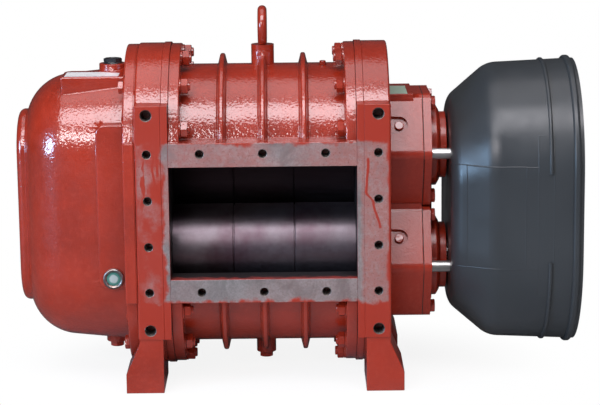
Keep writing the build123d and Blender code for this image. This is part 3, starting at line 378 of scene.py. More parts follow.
@dataclass(frozen=True)
class JointFace(Finish):
    """Milled joint face of the port: masked iron with overspray, runs and solid paint at its ends.

    Drips are paths of points (x, z) from the top to the bottom.
    """

    iron: Colour = (0.37, 0.325, 0.315)
    veil: Colour = (0.29, 0.100, 0.085)
    paint_colour: Colour = (0.270, 0.018, 0.006)
    spots: Colour = (0.14, 0.020, 0.012)
    half_height: float = 102.5 * MM
    column: float = 124.0 * MM
    edge: float = 160.0 * MM
    ragged: float = 30.0 * MM
    drip_width: float = 1.6 * MM
    drips: tuple[tuple[Pair, ...], ...] = (
        ((0.1340, 0.306), (0.1315, 0.263), (0.1405, 0.249), (0.1490, 0.215)),
        ((-0.1380, 0.312), (-0.1400, 0.298), (-0.1365, 0.268)),
        ((-0.1345, 0.316), (-0.1335, 0.284)),
    )

    def drip(self, s: Shader, x: Socket, z: Socket, path: tuple[Pair, ...]) -> Socket:
        """Return the mask of a run of paint that follows a path downwards.

        Args:
            s: The material under construction.
            x: Coordinate along the shafts.
            z: Height.
            path: Points of the run.

        Returns:
            The mask, 1 in the run.
        """
        middle: object = path[0][0]
        for (from_x, from_z), (to_x, to_z) in zip(path, path[1:]):
            middle = s.plus(middle, s.steps(z, from_z, to_z, 0.0, to_x - from_x))
        wobble = s.wander(s.noise(120.0, 2.0), 1.5 * self.drip_width)
        gap = s.maths("ABSOLUTE", s.plus(s.minus(x, middle), wobble))
        inside = s.steps(gap, self.drip_width + 0.4 * MM, self.drip_width - 0.4 * MM)
        top, bottom = path[0][1], path[-1][1]
        ends = s.times(s.steps(z, bottom, bottom + 2 * MM), s.steps(z, top + 2 * MM, top))
        front = s.steps(s.axis("Y"), 0.0, -0.10)
        return s.times(inside, ends, front)

    def paint(self, s: Shader) -> None:
        """Wire in the solid paint (ends, rim, runs, drips, smears), the overspray and the iron."""
        x, z = s.axis("X"), s.axis("Z")
        drift = s.noise(7.0, 3.0, 0.5)
        ragged = s.wander(s.noise(45.0, 4.0, 0.6), self.ragged)
        left = s.steps(s.plus(x, ragged), 2 * MM - self.column, -self.column - 6 * MM)
        right = s.plus(x, s.times(ragged, 0.3))
        right = s.steps(right, self.column - 2 * MM, self.column + 4 * MM)
        low = s.steps(z, PLAN.middle - 0.02, PLAN.middle - 0.07)
        high = s.steps(z, PLAN.middle - 0.01, PLAN.middle + 0.03)

        level = s.plus(s.gap(z, PLAN.middle), ragged)
        solid = s.steps(level, self.half_height - 3 * MM, self.half_height + 3 * MM)
        rim = s.plus(x, s.times(ragged, 0.4))
        rim = s.steps(rim, self.edge - 4 * MM, self.edge + 1 * MM)
        runs = s.noise(30.0, stretch=(1.0, 1.0, 0.22), distortion=0.9)
        runs = s.times(s.steps(runs, 0.655, 0.68), high)
        drips = [self.drip(s, x, z, path) for path in self.drips]
        smear = s.times(s.steps(s.noise(22.0, 4.0, 0.6), 0.26, 0.52), left)
        coverage = s.most(solid, rim, runs, *drips, smear)

        haze = s.times(s.steps(drift, 0.35, 0.60), s.minus(0.85, s.times(low, 0.6)))
        haze = s.most(haze, s.times(left, 0.9), s.times(right, 0.88))
        haze = s.times(haze, s.steps(s.noise(200.0, 3.0, 0.6), 0.3, 0.62, 0.65, 1.0))

        clouds = s.steps(s.noise(28.0, 5.0, 0.65, distortion=0.8), 0.32, 0.68)
        speckle = s.steps(s.noise(420.0, 3.0, 0.6), 0.35, 0.75, 0.0, 0.6)
        metal = s.blend(clouds, toned(self.iron, 0.62), toned(self.iron, 1.12))
        metal = s.blend(speckle, metal, toned(self.iron, 0.55))
        dots = s.steps(s.noise(380.0, 3.0, 0.7), 0.56, 0.66, 0.0, 0.6)
        base = s.blend(haze, metal, self.veil)
        base = s.blend(s.times(dots, s.steps(haze, 0.2, 0.8)), base, self.spots)
        base = s.blend(coverage, base, self.paint_colour)
        skin = s.bump(s.noise(380.0, 2.0, stretch=(0.05, 1.0, 1.0)), 0.02 * MM)
        skin = s.bump(coverage, 0.15 * MM, skin)
        skin = s.bump(s.noise(260.0, 2.0), 0.10 * MM, skin)
        bare = s.times(s.minus(1.0, coverage), s.steps(haze, 0.0, 1.0, 0.55, 0.15))
        rough = s.steps(drift, 0.3, 0.7, 0.42, 0.30)
        s.set(Base_Color=base, Roughness=rough, Normal=skin, Metallic=bare)
        s.set(Coat_Weight=0.25, Coat_Roughness=0.15, Coat_Normal=skin)


@dataclass(frozen=True)
class PortWall(Finish):
    """Walls of a port: real paint mist near the joint face that gives way to iron darkened to near black deeper
    in, a painted shade.
    """

    # Near-black iron deeper in the port is painted shade; the mist colour near the joint face is real overspray.
    iron: Colour = (0.035, 0.030, 0.030)
    mist: Colour = (0.25, 0.026, 0.018)
    reach: float = 16.0 * MM
    ragged: float = 30.0 * MM

    def paint(self, s: Shader) -> None:
        """Wire the finish into a material."""
        depth = s.minus(PLAN.port_y, s.maths("ABSOLUTE", s.axis("Y")))
        edge = s.plus(depth, s.wander(s.noise(60.0, 4.0), self.ragged))
        near = s.steps(edge, self.reach, 0.2 * self.reach)
        rough = s.steps(s.noise(50.0), 0.3, 0.7, 0.35, 0.5)
        s.set(Base_Color=s.blend(near, self.iron, self.mist), Roughness=rough)
        s.set(Normal=s.bump(s.noise(320.0, 2.0), 0.15 * MM))
        s.set(Metallic=s.steps(near, 0.0, 1.0, 0.6, 0.0))


@dataclass(frozen=True)
class Steel(Finish):
    """Bare or plated steel with fine marks along one axis."""

    colour: Colour
    tint: Colour
    roughness: float = 0.3
    marks: float = 500.0
    along: Triple = (0.04, 1.0, 1.0)
    depth: float = 0.01 * MM
    stain: float = 12.0

    def paint(self, s: Shader) -> None:
        """Wire the finish into a material."""
        stain = s.steps(s.noise(self.stain, 4.0, 0.6, stretch=self.along), 0.35, 0.72)
        lines = s.noise(self.marks, 2.0, 0.6, stretch=self.along)
        base = s.blend(stain, self.colour, self.tint)
        rough = s.steps(lines, 0.3, 0.7, self.roughness - 0.06, self.roughness + 0.08)
        s.set(Base_Color=base, Roughness=rough, Normal=s.bump(lines, self.depth), Metallic=1.0)


@dataclass(frozen=True)
class Threads(Finish):
    """Dark oiled threads inside a tapped hole whose axis lies along Y."""

    grime: Colour = (0.13, 0.11, 0.10)
    steel: Colour = (0.26, 0.22, 0.20)
    pitch: float = 1.75 * MM
    depth: float = 0.5 * MM

    def paint(self, s: Shader) -> None:
        """Wire the finish into a material."""
        turns = s.maths("SINE", s.times(s.axis("Y"), 2 * pi / self.pitch))
        clean = s.steps(s.noise(300.0), 0.3, 0.7)
        s.set(Base_Color=s.blend(clean, self.grime, self.steel), Roughness=0.38, Metallic=0.7)
        s.set(Normal=s.bump(s.steps(turns, -1.0, 1.0), self.depth))


@dataclass(frozen=True)
class Moulded(Finish):
    """Moulded plastic with a fine grain, faint flow marks and light scuffs."""

    colour: Colour
    sheen: Colour
    roughness: float = 0.38
    grain: float = 700.0
    depth: float = 0.03 * MM

    def skin(self, s: Shader) -> Socket:
        """Return the normal of the bare moulding."""
        return s.bump(s.noise(self.grain, 2.0), self.depth)

    def paint(self, s: Shader) -> None:
        """Wire the finish into a material."""
        flow = s.steps(s.noise(5.0, 3.0, 0.5), 0.3, 0.75)
        scuffs = s.steps(s.noise(40.0, 5.0, 0.7, stretch=(1.0, 1.0, 0.25)), 0.62, 0.80)
        base = s.blend(flow, self.colour, self.sheen)
        base = s.blend(s.times(scuffs, 0.2), base, toned(self.colour, 1.9))
        rough = s.steps(s.noise(25.0), 0.3, 0.7, self.roughness - 0.05, self.roughness + 0.07)
        s.set(Base_Color=base, Roughness=rough, Normal=self.skin(s), Specular_IOR_Level=0.5)


@dataclass(frozen=True)
class MarkedMoulding(Moulded):
    """Moulded plastic whose front carries witness lines of the mould's inserts.

    Each mark is a range along the shafts and a range of heights.
    """

    marks: tuple[tuple[float, float, float, float], ...] = ()
    line: float = 0.7 * MM
    height: float = 0.25 * MM

    def skin(self, s: Shader) -> Socket:
        """Return the normal with a raised outline round each insert.

        Args:
            s: The material under construction.

        Returns:
            The normal's socket.
        """
        x, z = s.axis("X"), s.axis("Z")
        front = s.steps(s.axis("Y"), -0.090, -0.100)
        ridges = []
        for low_x, high_x, low_z, high_z in self.marks:
            across = s.minus(s.gap(x, (low_x + high_x) / 2), (high_x - low_x) / 2)
            along = s.minus(s.gap(z, (low_z + high_z) / 2), (high_z - low_z) / 2)
            edge = s.maths("ABSOLUTE", s.most(across, along))
            ridges.append(s.steps(edge, self.line, 0.0))
        return s.bump(s.times(s.most(*ridges), front), self.height, super().skin(s))


@dataclass(frozen=True)
class SightGlass(Finish):
    """Glass with green tinted oil and a pale float eye behind it."""

    centre: Pair = (-195.0 * MM, 147.0 * MM)
    eye: float = 5.5 * MM
    pale: Colour = (0.30, 0.34, 0.32)
    oil: Colour = (0.05, 0.15, 0.12)

    def paint(self, s: Shader) -> None:
        """Wire the finish into a material."""
        squares = [
            s.maths("POWER", s.minus(s.axis(letter), middle), 2.0)
            for letter, middle in zip("XZ", self.centre)
        ]
        reach = s.maths("SQRT", s.plus(*squares))
        reach = s.plus(reach, s.wander(s.noise(260.0), 3 * MM))
        cloud = s.steps(reach, self.eye - 1 * MM, self.eye + 1 * MM)
        s.set(Base_Color=s.blend(cloud, self.pale, self.oil), Roughness=0.08)
        s.set(Coat_Weight=1.0, Coat_Roughness=0.03, Specular_IOR_Level=0.6)


ENAMEL = Enamel("red_enamel_cast")
ENAMEL_SMOOTH = Enamel(
    "red_enamel_smooth", grain=260.0, grain_depth=0.12 * MM,
    wave_depth=0.2 * MM, peel=160.0, peel_depth=0.25 * MM,
)
ENAMEL_FINE = Enamel(
    "red_enamel_fine", peel=420.0, peel_depth=0.16 * MM,
    wave_depth=0.4 * MM, coat=0.42, coat_roughness=0.20,
)
JOINT_FACE = JointFace("joint_face_overspray")
PORT_WALL = PortWall("port_wall_mist_and_shade")
THREADS = Threads("oiled_threads")
ROTOR_STEEL = Steel(
    "rotor_steel", (0.245, 0.212, 0.235), (0.150, 0.090, 0.112), roughness=0.42,
    marks=900.0, stain=22.0, along=(0.6, 0.5, 0.5), depth=0.002 * MM,
)
# Darker copy of the rotor steel for the upper rotor: a painted shade of the dark chamber it sits in.
ROTOR_SHADED = Steel(
    "rotor_steel_painted_shade", (0.11, 0.10, 0.105), (0.08, 0.060, 0.066), roughness=0.4, stain=9.0
)
# Near-black steel for the bores: a painted shade of the deep, dark chamber.
BORE_PAINTED_SHADE = Steel("bore_painted_shade", (0.045, 0.042, 0.042), (0.03, 0.026, 0.026), roughness=0.45)
SHAFT_STEEL = Steel("shaft_steel", (0.55, 0.55, 0.56), (0.42, 0.41, 0.40), roughness=0.28)
BEARING_STEEL = Steel("bearing_steel", (0.66, 0.66, 0.67), (0.55, 0.55, 0.56), roughness=0.2)
ZINC = Steel("zinc_plate", (0.74, 0.74, 0.73), (0.50, 0.49, 0.47), roughness=0.36, stain=60.0)
FITTING = Steel(
    "sight_ring_plate", (0.45, 0.45, 0.44), (0.34, 0.14, 0.10), roughness=0.34,
    stain=90.0, along=(1.0, 1.0, 1.0),
)
GUARD_PLASTIC = MarkedMoulding(
    "guard_plastic", (0.0245, 0.0275, 0.0300), (0.034, 0.038, 0.041), roughness=0.33,
    marks=(
        (0.240, 0.336, 0.157, 0.291),
        (0.262, 0.352, 0.1575, 0.2905),
        (0.352, 0.372, 0.120, 0.330),
    ),
)
BLACK_PLASTIC = Moulded("black_plastic", (0.012, 0.012, 0.014), (0.02, 0.02, 0.022), roughness=0.3)
SEAL_RUBBER = Moulded("seal_rubber", (0.015, 0.015, 0.015), (0.022, 0.022, 0.022), roughness=0.55)
GASKET = Moulded("gasket_fibre", (0.030, 0.012, 0.010), (0.05, 0.018, 0.014), roughness=0.7)
LENS = SightGlass("sight_lens")
WHITE_LABEL = Moulded(
    "bare_white_label", (0.74, 0.74, 0.74), (0.66, 0.66, 0.67), roughness=0.3, depth=0.004 * MM
)
GREEN_LABEL = Moulded(
    "bare_green_label", (0.33, 0.42, 0.33), (0.28, 0.37, 0.29), roughness=0.4, depth=0.004 * MM
)


# ---------------------------------------------------------------- mesh tools
def merged_copy(node: str, merge: float = 2e-6, short: float = 1e-6, flat: float = 0.3) -> BMesh:
    """Copy a CAD node's mesh with its points merged and its flat faces joined.

    Args:
        node: Name of the CAD node.
        merge: Points nearer to each other than this are merged.
        short: Edges shorter than this are dissolved.
        flat: Faces that meet at less than this angle, in degrees, are joined.

    Returns:
        A new bmesh in the row frame.
    """
    bm = bmesh.new()
    bm.from_mesh(frame["nodes"][node].data)
    bmesh.ops.remove_doubles(bm, verts=bm.verts, dist=merge)
    bmesh.ops.dissolve_degenerate(bm, dist=short, edges=bm.edges)
    bmesh.ops.dissolve_limit(bm, angle_limit=radians(flat), verts=bm.verts, edges=bm.edges)
    return bm


def round_edges(
    bm: BMesh, width: float, segments: int, keep: Callable[[BMEdge], bool], angle: float = 32.0
) -> None:
    """Bevel the sharp edges of a mesh.

    Args:
        bm: The mesh, changed in place.
        width: Offset of the bevel.
        segments: Rows of faces across it.
        keep: Test that an edge has to pass.
        angle: Least angle between the faces, in degrees.
    """
    least = radians(angle)
    pairs = [edge for edge in bm.edges if len(edge.link_faces) == 2]
    sharp = [edge for edge in pairs if edge.calc_face_angle(0.0) > least and keep(edge)]
    if sharp:
        bmesh.ops.bevel(
            bm, geom=sharp, offset=width, segments=segments, affect="EDGES", profile=0.5,
            offset_type="OFFSET", clamp_overlap=False, material=-1,
        )


def finish_piece(
    name: str, bm: BMesh, body: Body, slot: Slot, finishes: Sequence[Finish],
    stands_for: Iterable[str] = (), smooth: float = 38.0,
) -> None:
    """Turn a bmesh into a piece that rides on a body.

    Args:
        name: Name of the piece.
        bm: Its mesh in the row frame, freed here.
        body: The body it rides on.
        slot: Not used.
        finishes: Finishes in the order of the faces' material indices.
        stands_for: CAD nodes that it replaces.
        smooth: Edges sharper than this angle in degrees stay sharp.
    """
    mesh = bpy.data.meshes.new(name)
    bm.to_mesh(mesh)
    bm.free()
    for finish in finishes:
        mesh.materials.append(finish.material())
    mesh.shade_smooth()
    mesh.set_sharp_from_angle(angle=radians(smooth))
    piece = bpy.data.objects.new(name, mesh)
    bpy.context.scene.collection.objects.link(piece)
    weighted = piece.modifiers.new("even_normals", "WEIGHTED_NORMAL")
    weighted.keep_sharp = True
    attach(piece, body.value)
    if stands_for:
        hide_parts(*stands_for)
    LOG.info("%s: %d faces", name, len(mesh.polygons))


def dress(node: str, finish: Finish) -> None:
    """Give a CAD node its finish."""
    materials = frame["nodes"][node].data.materials
    materials.clear()
    materials.append(finish.material())


def placed(origin: Sequence[float], out: Sequence[float], turn: float = 0.0) -> Matrix:
    """Return the matrix that puts +Z along out at origin, turned about it in degrees."""
    heading = Vector(out).to_track_quat("Z", "Y").to_matrix().to_4x4()
    return Matrix.Translation(Vector(origin)) @ heading @ Matrix.Rotation(radians(turn), 4, "Z")


@dataclass(frozen=True)
class Turned:
    """Solid spun from a profile about its own +Z axis, in millimetres.

    Each point of the profile is a radius, a height and a Form. ROUND, which may be left out, is a
    circle. HEX is a hexagon whose flats are at the radius. CONE is the solid's own hexagon, cut
    back by a cone that starts at the radius.
    """

    rings: tuple[tuple[float | Form, ...], ...]
    half_flats: float = 0.0
    segments: int = 36
    hollow: bool = False
    chamfer: float = 30.0

    def shape_ring(self, vert: bmesh.types.BMVert, form: Form) -> None:
        """Move a vertex of the round solid onto the outline of its ring.

        Args:
            vert: The vertex, moved in place.
            form: The outline.
        """
        radius, angle = vert.co.xy.length, atan2(vert.co.y, vert.co.x)
        reach = 1 / cos((angle + pi / 6) % (pi / 3) - pi / 6)
        if form is Form.HEX:
            vert.co.xy *= reach
        elif form is Form.CONE:
            corner = self.half_flats * MM * reach
            vert.co.z -= max(0.0, corner - radius) * tan(radians(self.chamfer))
            vert.co.xy *= corner / radius

    def add_to(self, bm: BMesh, place: Matrix) -> None:
        """Add the closed solid to a mesh.

        Args:
            bm: The mesh, changed in place.
            place: Where its axis goes.
        """
        own = bmesh.new()
        forms = own.verts.layers.int.new("form")
        profile = []
        for radius, height, *form in self.rings:
            vert = own.verts.new((radius * MM, 0.0, height * MM))
            vert[forms] = (form[0] if form else Form.ROUND).value
            profile.append(vert)
        ends = [*profile, profile[0]] if self.hollow else profile
        edges = [own.edges.new(pair) for pair in zip(ends, ends[1:])]
        bmesh.ops.spin(
            own, geom=profile + edges, steps=self.segments, angle=2 * pi,
            axis=(0.0, 0.0, 1.0), cent=(0.0, 0.0, 0.0), use_merge=True,
        )
        for vert in own.verts:
            self.shape_ring(vert, Form(vert[forms]))
        if not self.hollow:
            open_edges = [edge for edge in own.edges if edge.is_boundary]
            bmesh.ops.holes_fill(own, edges=open_edges, sides=0)
        bmesh.ops.recalc_face_normals(own, faces=own.faces)
        bmesh.ops.transform(own, matrix=place, verts=own.verts)
        mesh = bpy.data.meshes.new("turned")
        own.to_mesh(mesh)
        own.free()
        bm.from_mesh(mesh)
        bpy.data.meshes.remove(mesh)


def hex_nut(
    flats: float, height: float, stud: float, rise: float, shank: float, washer: float
) -> Turned:
    """Return a chamfered nut on a washer round a stud, in millimetres.

    Args:
        flats: Width across flats.
        height: Height of the washer and the nut together.
        stud: Radius of the stud.
        rise: Length of the stud above the nut.
        shank: Length of the stud below the seat.
        washer: Thickness of the washer.

    Returns:
        The solid, with its seat at height 0.
    """
    half, soft, tip = flats / 2, 0.25, height + rise
    wide = 1.15 * half
    shaft = ((stud - 0.6, -shank), (stud, 0.6 - shank), (stud, 0.0))
    ring = ((wide, 0.0), (wide, washer - soft), (wide - soft, washer), (0.90 * half, washer))
    sides = ((0.94 * half, washer + 0.4, Form.HEX), (half, washer + 0.7, Form.HEX))
    face = ((0.98 * half, height, Form.CONE), (0.95 * half, height), (stud + 0.7, height))
    end = ((stud, height - 0.7), (stud, tip - 0.9), (stud - 0.3, tip - 0.4), (stud - 1.0, tip))
    return Turned((*shaft, *ring, *sides, *face, *end), half)


def hex_screw(
    flats: float, height: float, shank: float, length: float, flange: float = 0.0
) -> Turned:
    """Return a chamfered screw head with its shank, in millimetres.

    Args:
        flats: Width across flats.
        height: Height of the head.
        shank: Radius of the shank.
        length: Length of the shank.
        flange: Thickness of the washer face under the hexagon.

    Returns:
        The solid, with its seat at height 0.
    """
    half = flats / 2
    foot, waist = (1.14, 1.14) if flange else (0.95, 0.97)
    shaft = ((shank - 0.8, -length), (shank, 0.8 - length), (shank, 0.0))
    seat = ((foot * half, 0.0), (waist * half, 0.2 + 0.5 * flange))
    sides = ((half - 0.3, 0.3 + flange, Form.HEX), (half, 0.8 + flange, Form.HEX))
    face = ((0.98 * half, height, Form.CONE), (0.95 * half, height), (0.80 * half, height - 0.15))
    dish = ((0.74 * half, height - 0.45), (0.30 * half, height - 0.45))
    return Turned((*shaft, *seat, *sides, *face, *dish), half)


# ---------------------------------------------------------------- studio
@dataclass(frozen=True)
class Lamp:
    """Rectangular area lamp that faces the machine's middle."""

    name: str
    place: Triple
    size: Pair
    power: float
    colour: Colour = WHITE

    def build(self) -> None:
        """Hang the lamp."""
        data = bpy.data.lights.new(self.name, "AREA")
        data.shape = "RECTANGLE"
        data.size, data.size_y = self.size
        data.energy = self.power
        data.color = self.colour
        lamp = bpy.data.objects.new(self.name, data)
        bpy.context.scene.collection.objects.link(lamp)
        lamp.location = self.place
        aim = Vector((0.0, 0.0, PLAN.middle)) - Vector(self.place)
        lamp.rotation_euler = aim.to_track_quat("-Z", "Y").to_euler()


@dataclass(frozen=True)
class Studio:
    """Pale floor and backdrop, soft lamps and the camera.

    Lights of the world are a colour and a strength. Angles are in degrees.
    """

    camera_place: Triple = (0.03926, -2.80946, 0.78785)
    azimuth: float = -0.165
    dip: float = 11.389
    roll: float = -0.605
    lens: float = 128.39
    sensor: float = 36.0
    floor_size: float = 24.0
    floor_drop: float = 0.4 * MM
    floor_tones: Pair = (0.90, 0.93)
    floor_reflected: float = 0.10
    floor_reflected_near: float = 0.24
    shadow_near: float = 0.20
    shadow_far: float = 0.42
    shadow_share: float = 0.88
    shadow_stretch: Triple = (1.0, 1.4, 1.0)
    ambient: tuple[Colour, float] = ((0.93, 0.96, 1.0), 0.31)
    reflected: tuple[Colour, float] = ((0.90, 0.94, 1.0), 0.06)
    seen: tuple[Colour, float] = (WHITE, 1.0)
    lamps: tuple[Lamp, ...] = (
        Lamp("top_lamp", (0.0, -1.30, 2.25), (2.6, 1.0), 53.0, (0.98, 0.95, 1.0)),
        Lamp("over_lamp", (0.0, 0.15, 2.8), (2.6, 1.6), 17.0, (1.0, 0.95, 0.98)),
        Lamp("key_lamp", (-1.00, -2.45, 1.52), (1.30, 0.45), 27.0, (1.0, 0.95, 0.98)),
        Lamp("side_lamp", (-2.3, -1.55, 0.70), (0.7, 0.85), 54.0, (0.40, 0.66, 1.0)),
        Lamp("fill_lamp", (1.9, -2.4, 1.2), (0.8, 1.2), 3.0),
    )

    def floor_material(self) -> Material:
        """Build the white floor, which keeps soft shadows and is dim to glossy rays."""
        material = bpy.data.materials.new("studio_white")
        material.use_nodes = True
        graph = Graph(material.node_tree)
        path = graph.add("ShaderNodeLightPath").outputs
        coordinates = graph.add("ShaderNodeTexCoord").outputs["Object"]
        inputs = {"Vector": coordinates, "Scale": self.shadow_stretch}
        stretched = graph.add("ShaderNodeMapping", inputs).outputs["Vector"]
        reach = graph.add("ShaderNodeVectorMath", {0: stretched}, operation="LENGTH")
        ends = (self.shadow_near, self.shadow_far, self.shadow_share, 1.0)
        away = graph.steps(reach.outputs["Value"], *ends)
        cloud = graph.add("ShaderNodeTexNoise", {"Scale": 3.0}).outputs["Fac"]
        low, high = self.floor_tones
        inputs = {"Value": cloud, "To Min": low, "To Max": high}
        plain = graph.add("ShaderNodeMapRange", inputs).outputs["Result"]
        inputs = {"Value": away, "From Min": self.shadow_share, "To Max": self.floor_reflected}
        inputs["To Min"] = self.floor_reflected_near
        dim = graph.add("ShaderNodeMapRange", inputs).outputs["Result"]
        inputs = {"Factor": path["Is Glossy Ray"], "A": plain, "B": dim}
        tone = graph.add("ShaderNodeMix", inputs).outputs["Result"]
        diffuse = graph.add("ShaderNodeBsdfDiffuse", {"Color": tone})
        glow = graph.add("ShaderNodeEmission", {"Strength": 1.0})
        seen = graph.most(path["Is Camera Ray"], path["Is Transmission Ray"])
        floor = graph.either(graph.times(seen, away), diffuse, glow)
        graph.add("ShaderNodeOutputMaterial", {"Surface": floor.outputs[0]})
        return material

    def build_floor(self) -> None:
        """Lay the floor under the feet."""
        bm = bmesh.new()
        bmesh.ops.create_grid(bm, x_segments=1, y_segments=1, size=self.floor_size / 2)
        feet = min(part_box(node)[0].z for node in ("head_gear", "head_drive"))
        bmesh.ops.translate(bm, verts=bm.verts, vec=(0.0, 0.0, feet - self.floor_drop))
        mesh = bpy.data.meshes.new("studio_floor")
        bm.to_mesh(mesh)
        bm.free()
        mesh.materials.append(self.floor_material())
        floor = bpy.data.objects.new("studio_floor", mesh)
        bpy.context.scene.collection.objects.link(floor)

    def build_world(self) -> None:
        """Set a world that lights softly, is dim to glossy rays and white to the camera."""
        world = bpy.data.worlds.new("studio_world")
        bpy.context.scene.world = world
        world.use_nodes = True
        graph = Graph(world.node_tree)
        ambient, reflected, seen = (
            graph.add("ShaderNodeBackground", {"Color": colour, "Strength": strength})
            for colour, strength in (self.ambient, self.reflected, self.seen)
        )
        path = graph.add("ShaderNodeLightPath").outputs
        bounced = graph.either(path["Is Glossy Ray"], ambient, reflected)
        light = graph.either(path["Is Camera Ray"], bounced, seen)
        graph.add("ShaderNodeOutputWorld", {"Surface": light.outputs[0]})

    def build_camera(self) -> None:
        """Place the camera."""
        turn, dip, roll = radians(self.azimuth), radians(self.dip), radians(self.roll)
        ahead = Vector((-sin(turn) * cos(dip), cos(turn) * cos(dip), -sin(dip)))
        right = Vector((cos(turn), sin(turn), 0.0))
        up = right.cross(ahead)
        right, up = cos(roll) * right + sin(roll) * up, cos(roll) * up - sin(roll) * right
        data = bpy.data.cameras.new("camera")
        data.lens = self.lens
        data.sensor_width = self.sensor
        camera = bpy.data.objects.new("camera", data)
        bpy.context.scene.collection.objects.link(camera)
        place = Matrix((right, up, -ahead)).transposed().to_4x4()
        place.translation = self.camera_place
        camera.matrix_world = place
        bpy.context.scene.camera = camera

    def build(self) -> None:
        """Set up the camera, the floor, the world and the lamps."""
        self.build_camera()
        bpy.context.scene.view_settings.view_transform = "Standard"
        self.build_floor()
        self.build_world()
        for lamp in self.lamps:
            lamp.build()
        LOG.info("studio: %d lamps", len(self.lamps))


# ---------------------------------------------------------------- the machine
def nearest_shaft(place: Vector) -> Vector:
    """Return the vector from the nearer shaft axis to a point, across the shafts."""
    level = min((PLAN.lower, PLAN.upper), key=lambda z: abs(place.z - z))
    return Vector((0.0, place.y, place.z - level))


def ring_places(radius: float, angles: Iterable[float]) -> list[Pair]:
    """Return (y, z) places round both ends of the upright oblong, as the studs stand."""
    return [
        (-radius * cos(radians(angle)), level + end * radius * sin(radians(angle)))
        for level, end in ((PLAN.upper, 1), (PLAN.lower, -1))
        for angle in angles
    ]


def polar_places(radius: float, angles: Iterable[float]) -> list[Pair]:
    """Return (y, z) places on a circle about each shaft."""
    return [
        (radius * cos(radians(angle)), level + radius * sin(radians(angle)))
        for level in (PLAN.lower, PLAN.upper)
        for angle in angles
    ]


def one_finish(centre: Vector, normal: Vector) -> Skin:
    """Pick the first finish for every face."""
    return Skin.PAINT


@dataclass
class Casting:
    """A cast and machined CAD node with its long edges rounded and its hole rims chamfered.

    Finishes are picked face by face, by centre and normal. Rims are the short edges on the planes
    of the joint faces.
    """

    node: str
    finishes: tuple[Finish, ...]
    width: float
    segments: int = 3
    pick: Callable[[Vector, Vector], Skin] = one_finish
    rim: float = 0.8 * MM
    rim_angle: float = 60.0
    least: float = 1.9 * MM
    near: float = 0.02 * MM
    smooth: float = 30.0
    body: Body = Body.HOUSING
    slot: Slot = Slot.PAINT

    def is_rim(self, edge: BMEdge) -> bool:
        """Return whether an edge is part of a hole's rim."""
        planar = all(abs(abs(vert.co.y) - PLAN.port_y) < self.near for vert in edge.verts)
        return planar and edge.calc_length() < self.least

    def build(self) -> None:
        """Build the piece that stands for the node."""
        bm = merged_copy(self.node)
        for face in bm.faces:
            face.material_index = self.pick(face.calc_center_median(), face.normal).value
        round_edges(bm, self.rim, 1, self.is_rim, self.rim_angle)
        round_edges(bm, self.width, self.segments, lambda edge: edge.calc_length() > self.least)
        bmesh.ops.recalc_face_normals(bm, faces=bm.faces)
        name = self.node + "_cast"
        finish_piece(name, bm, self.body, self.slot, self.finishes, (self.node,), self.smooth)


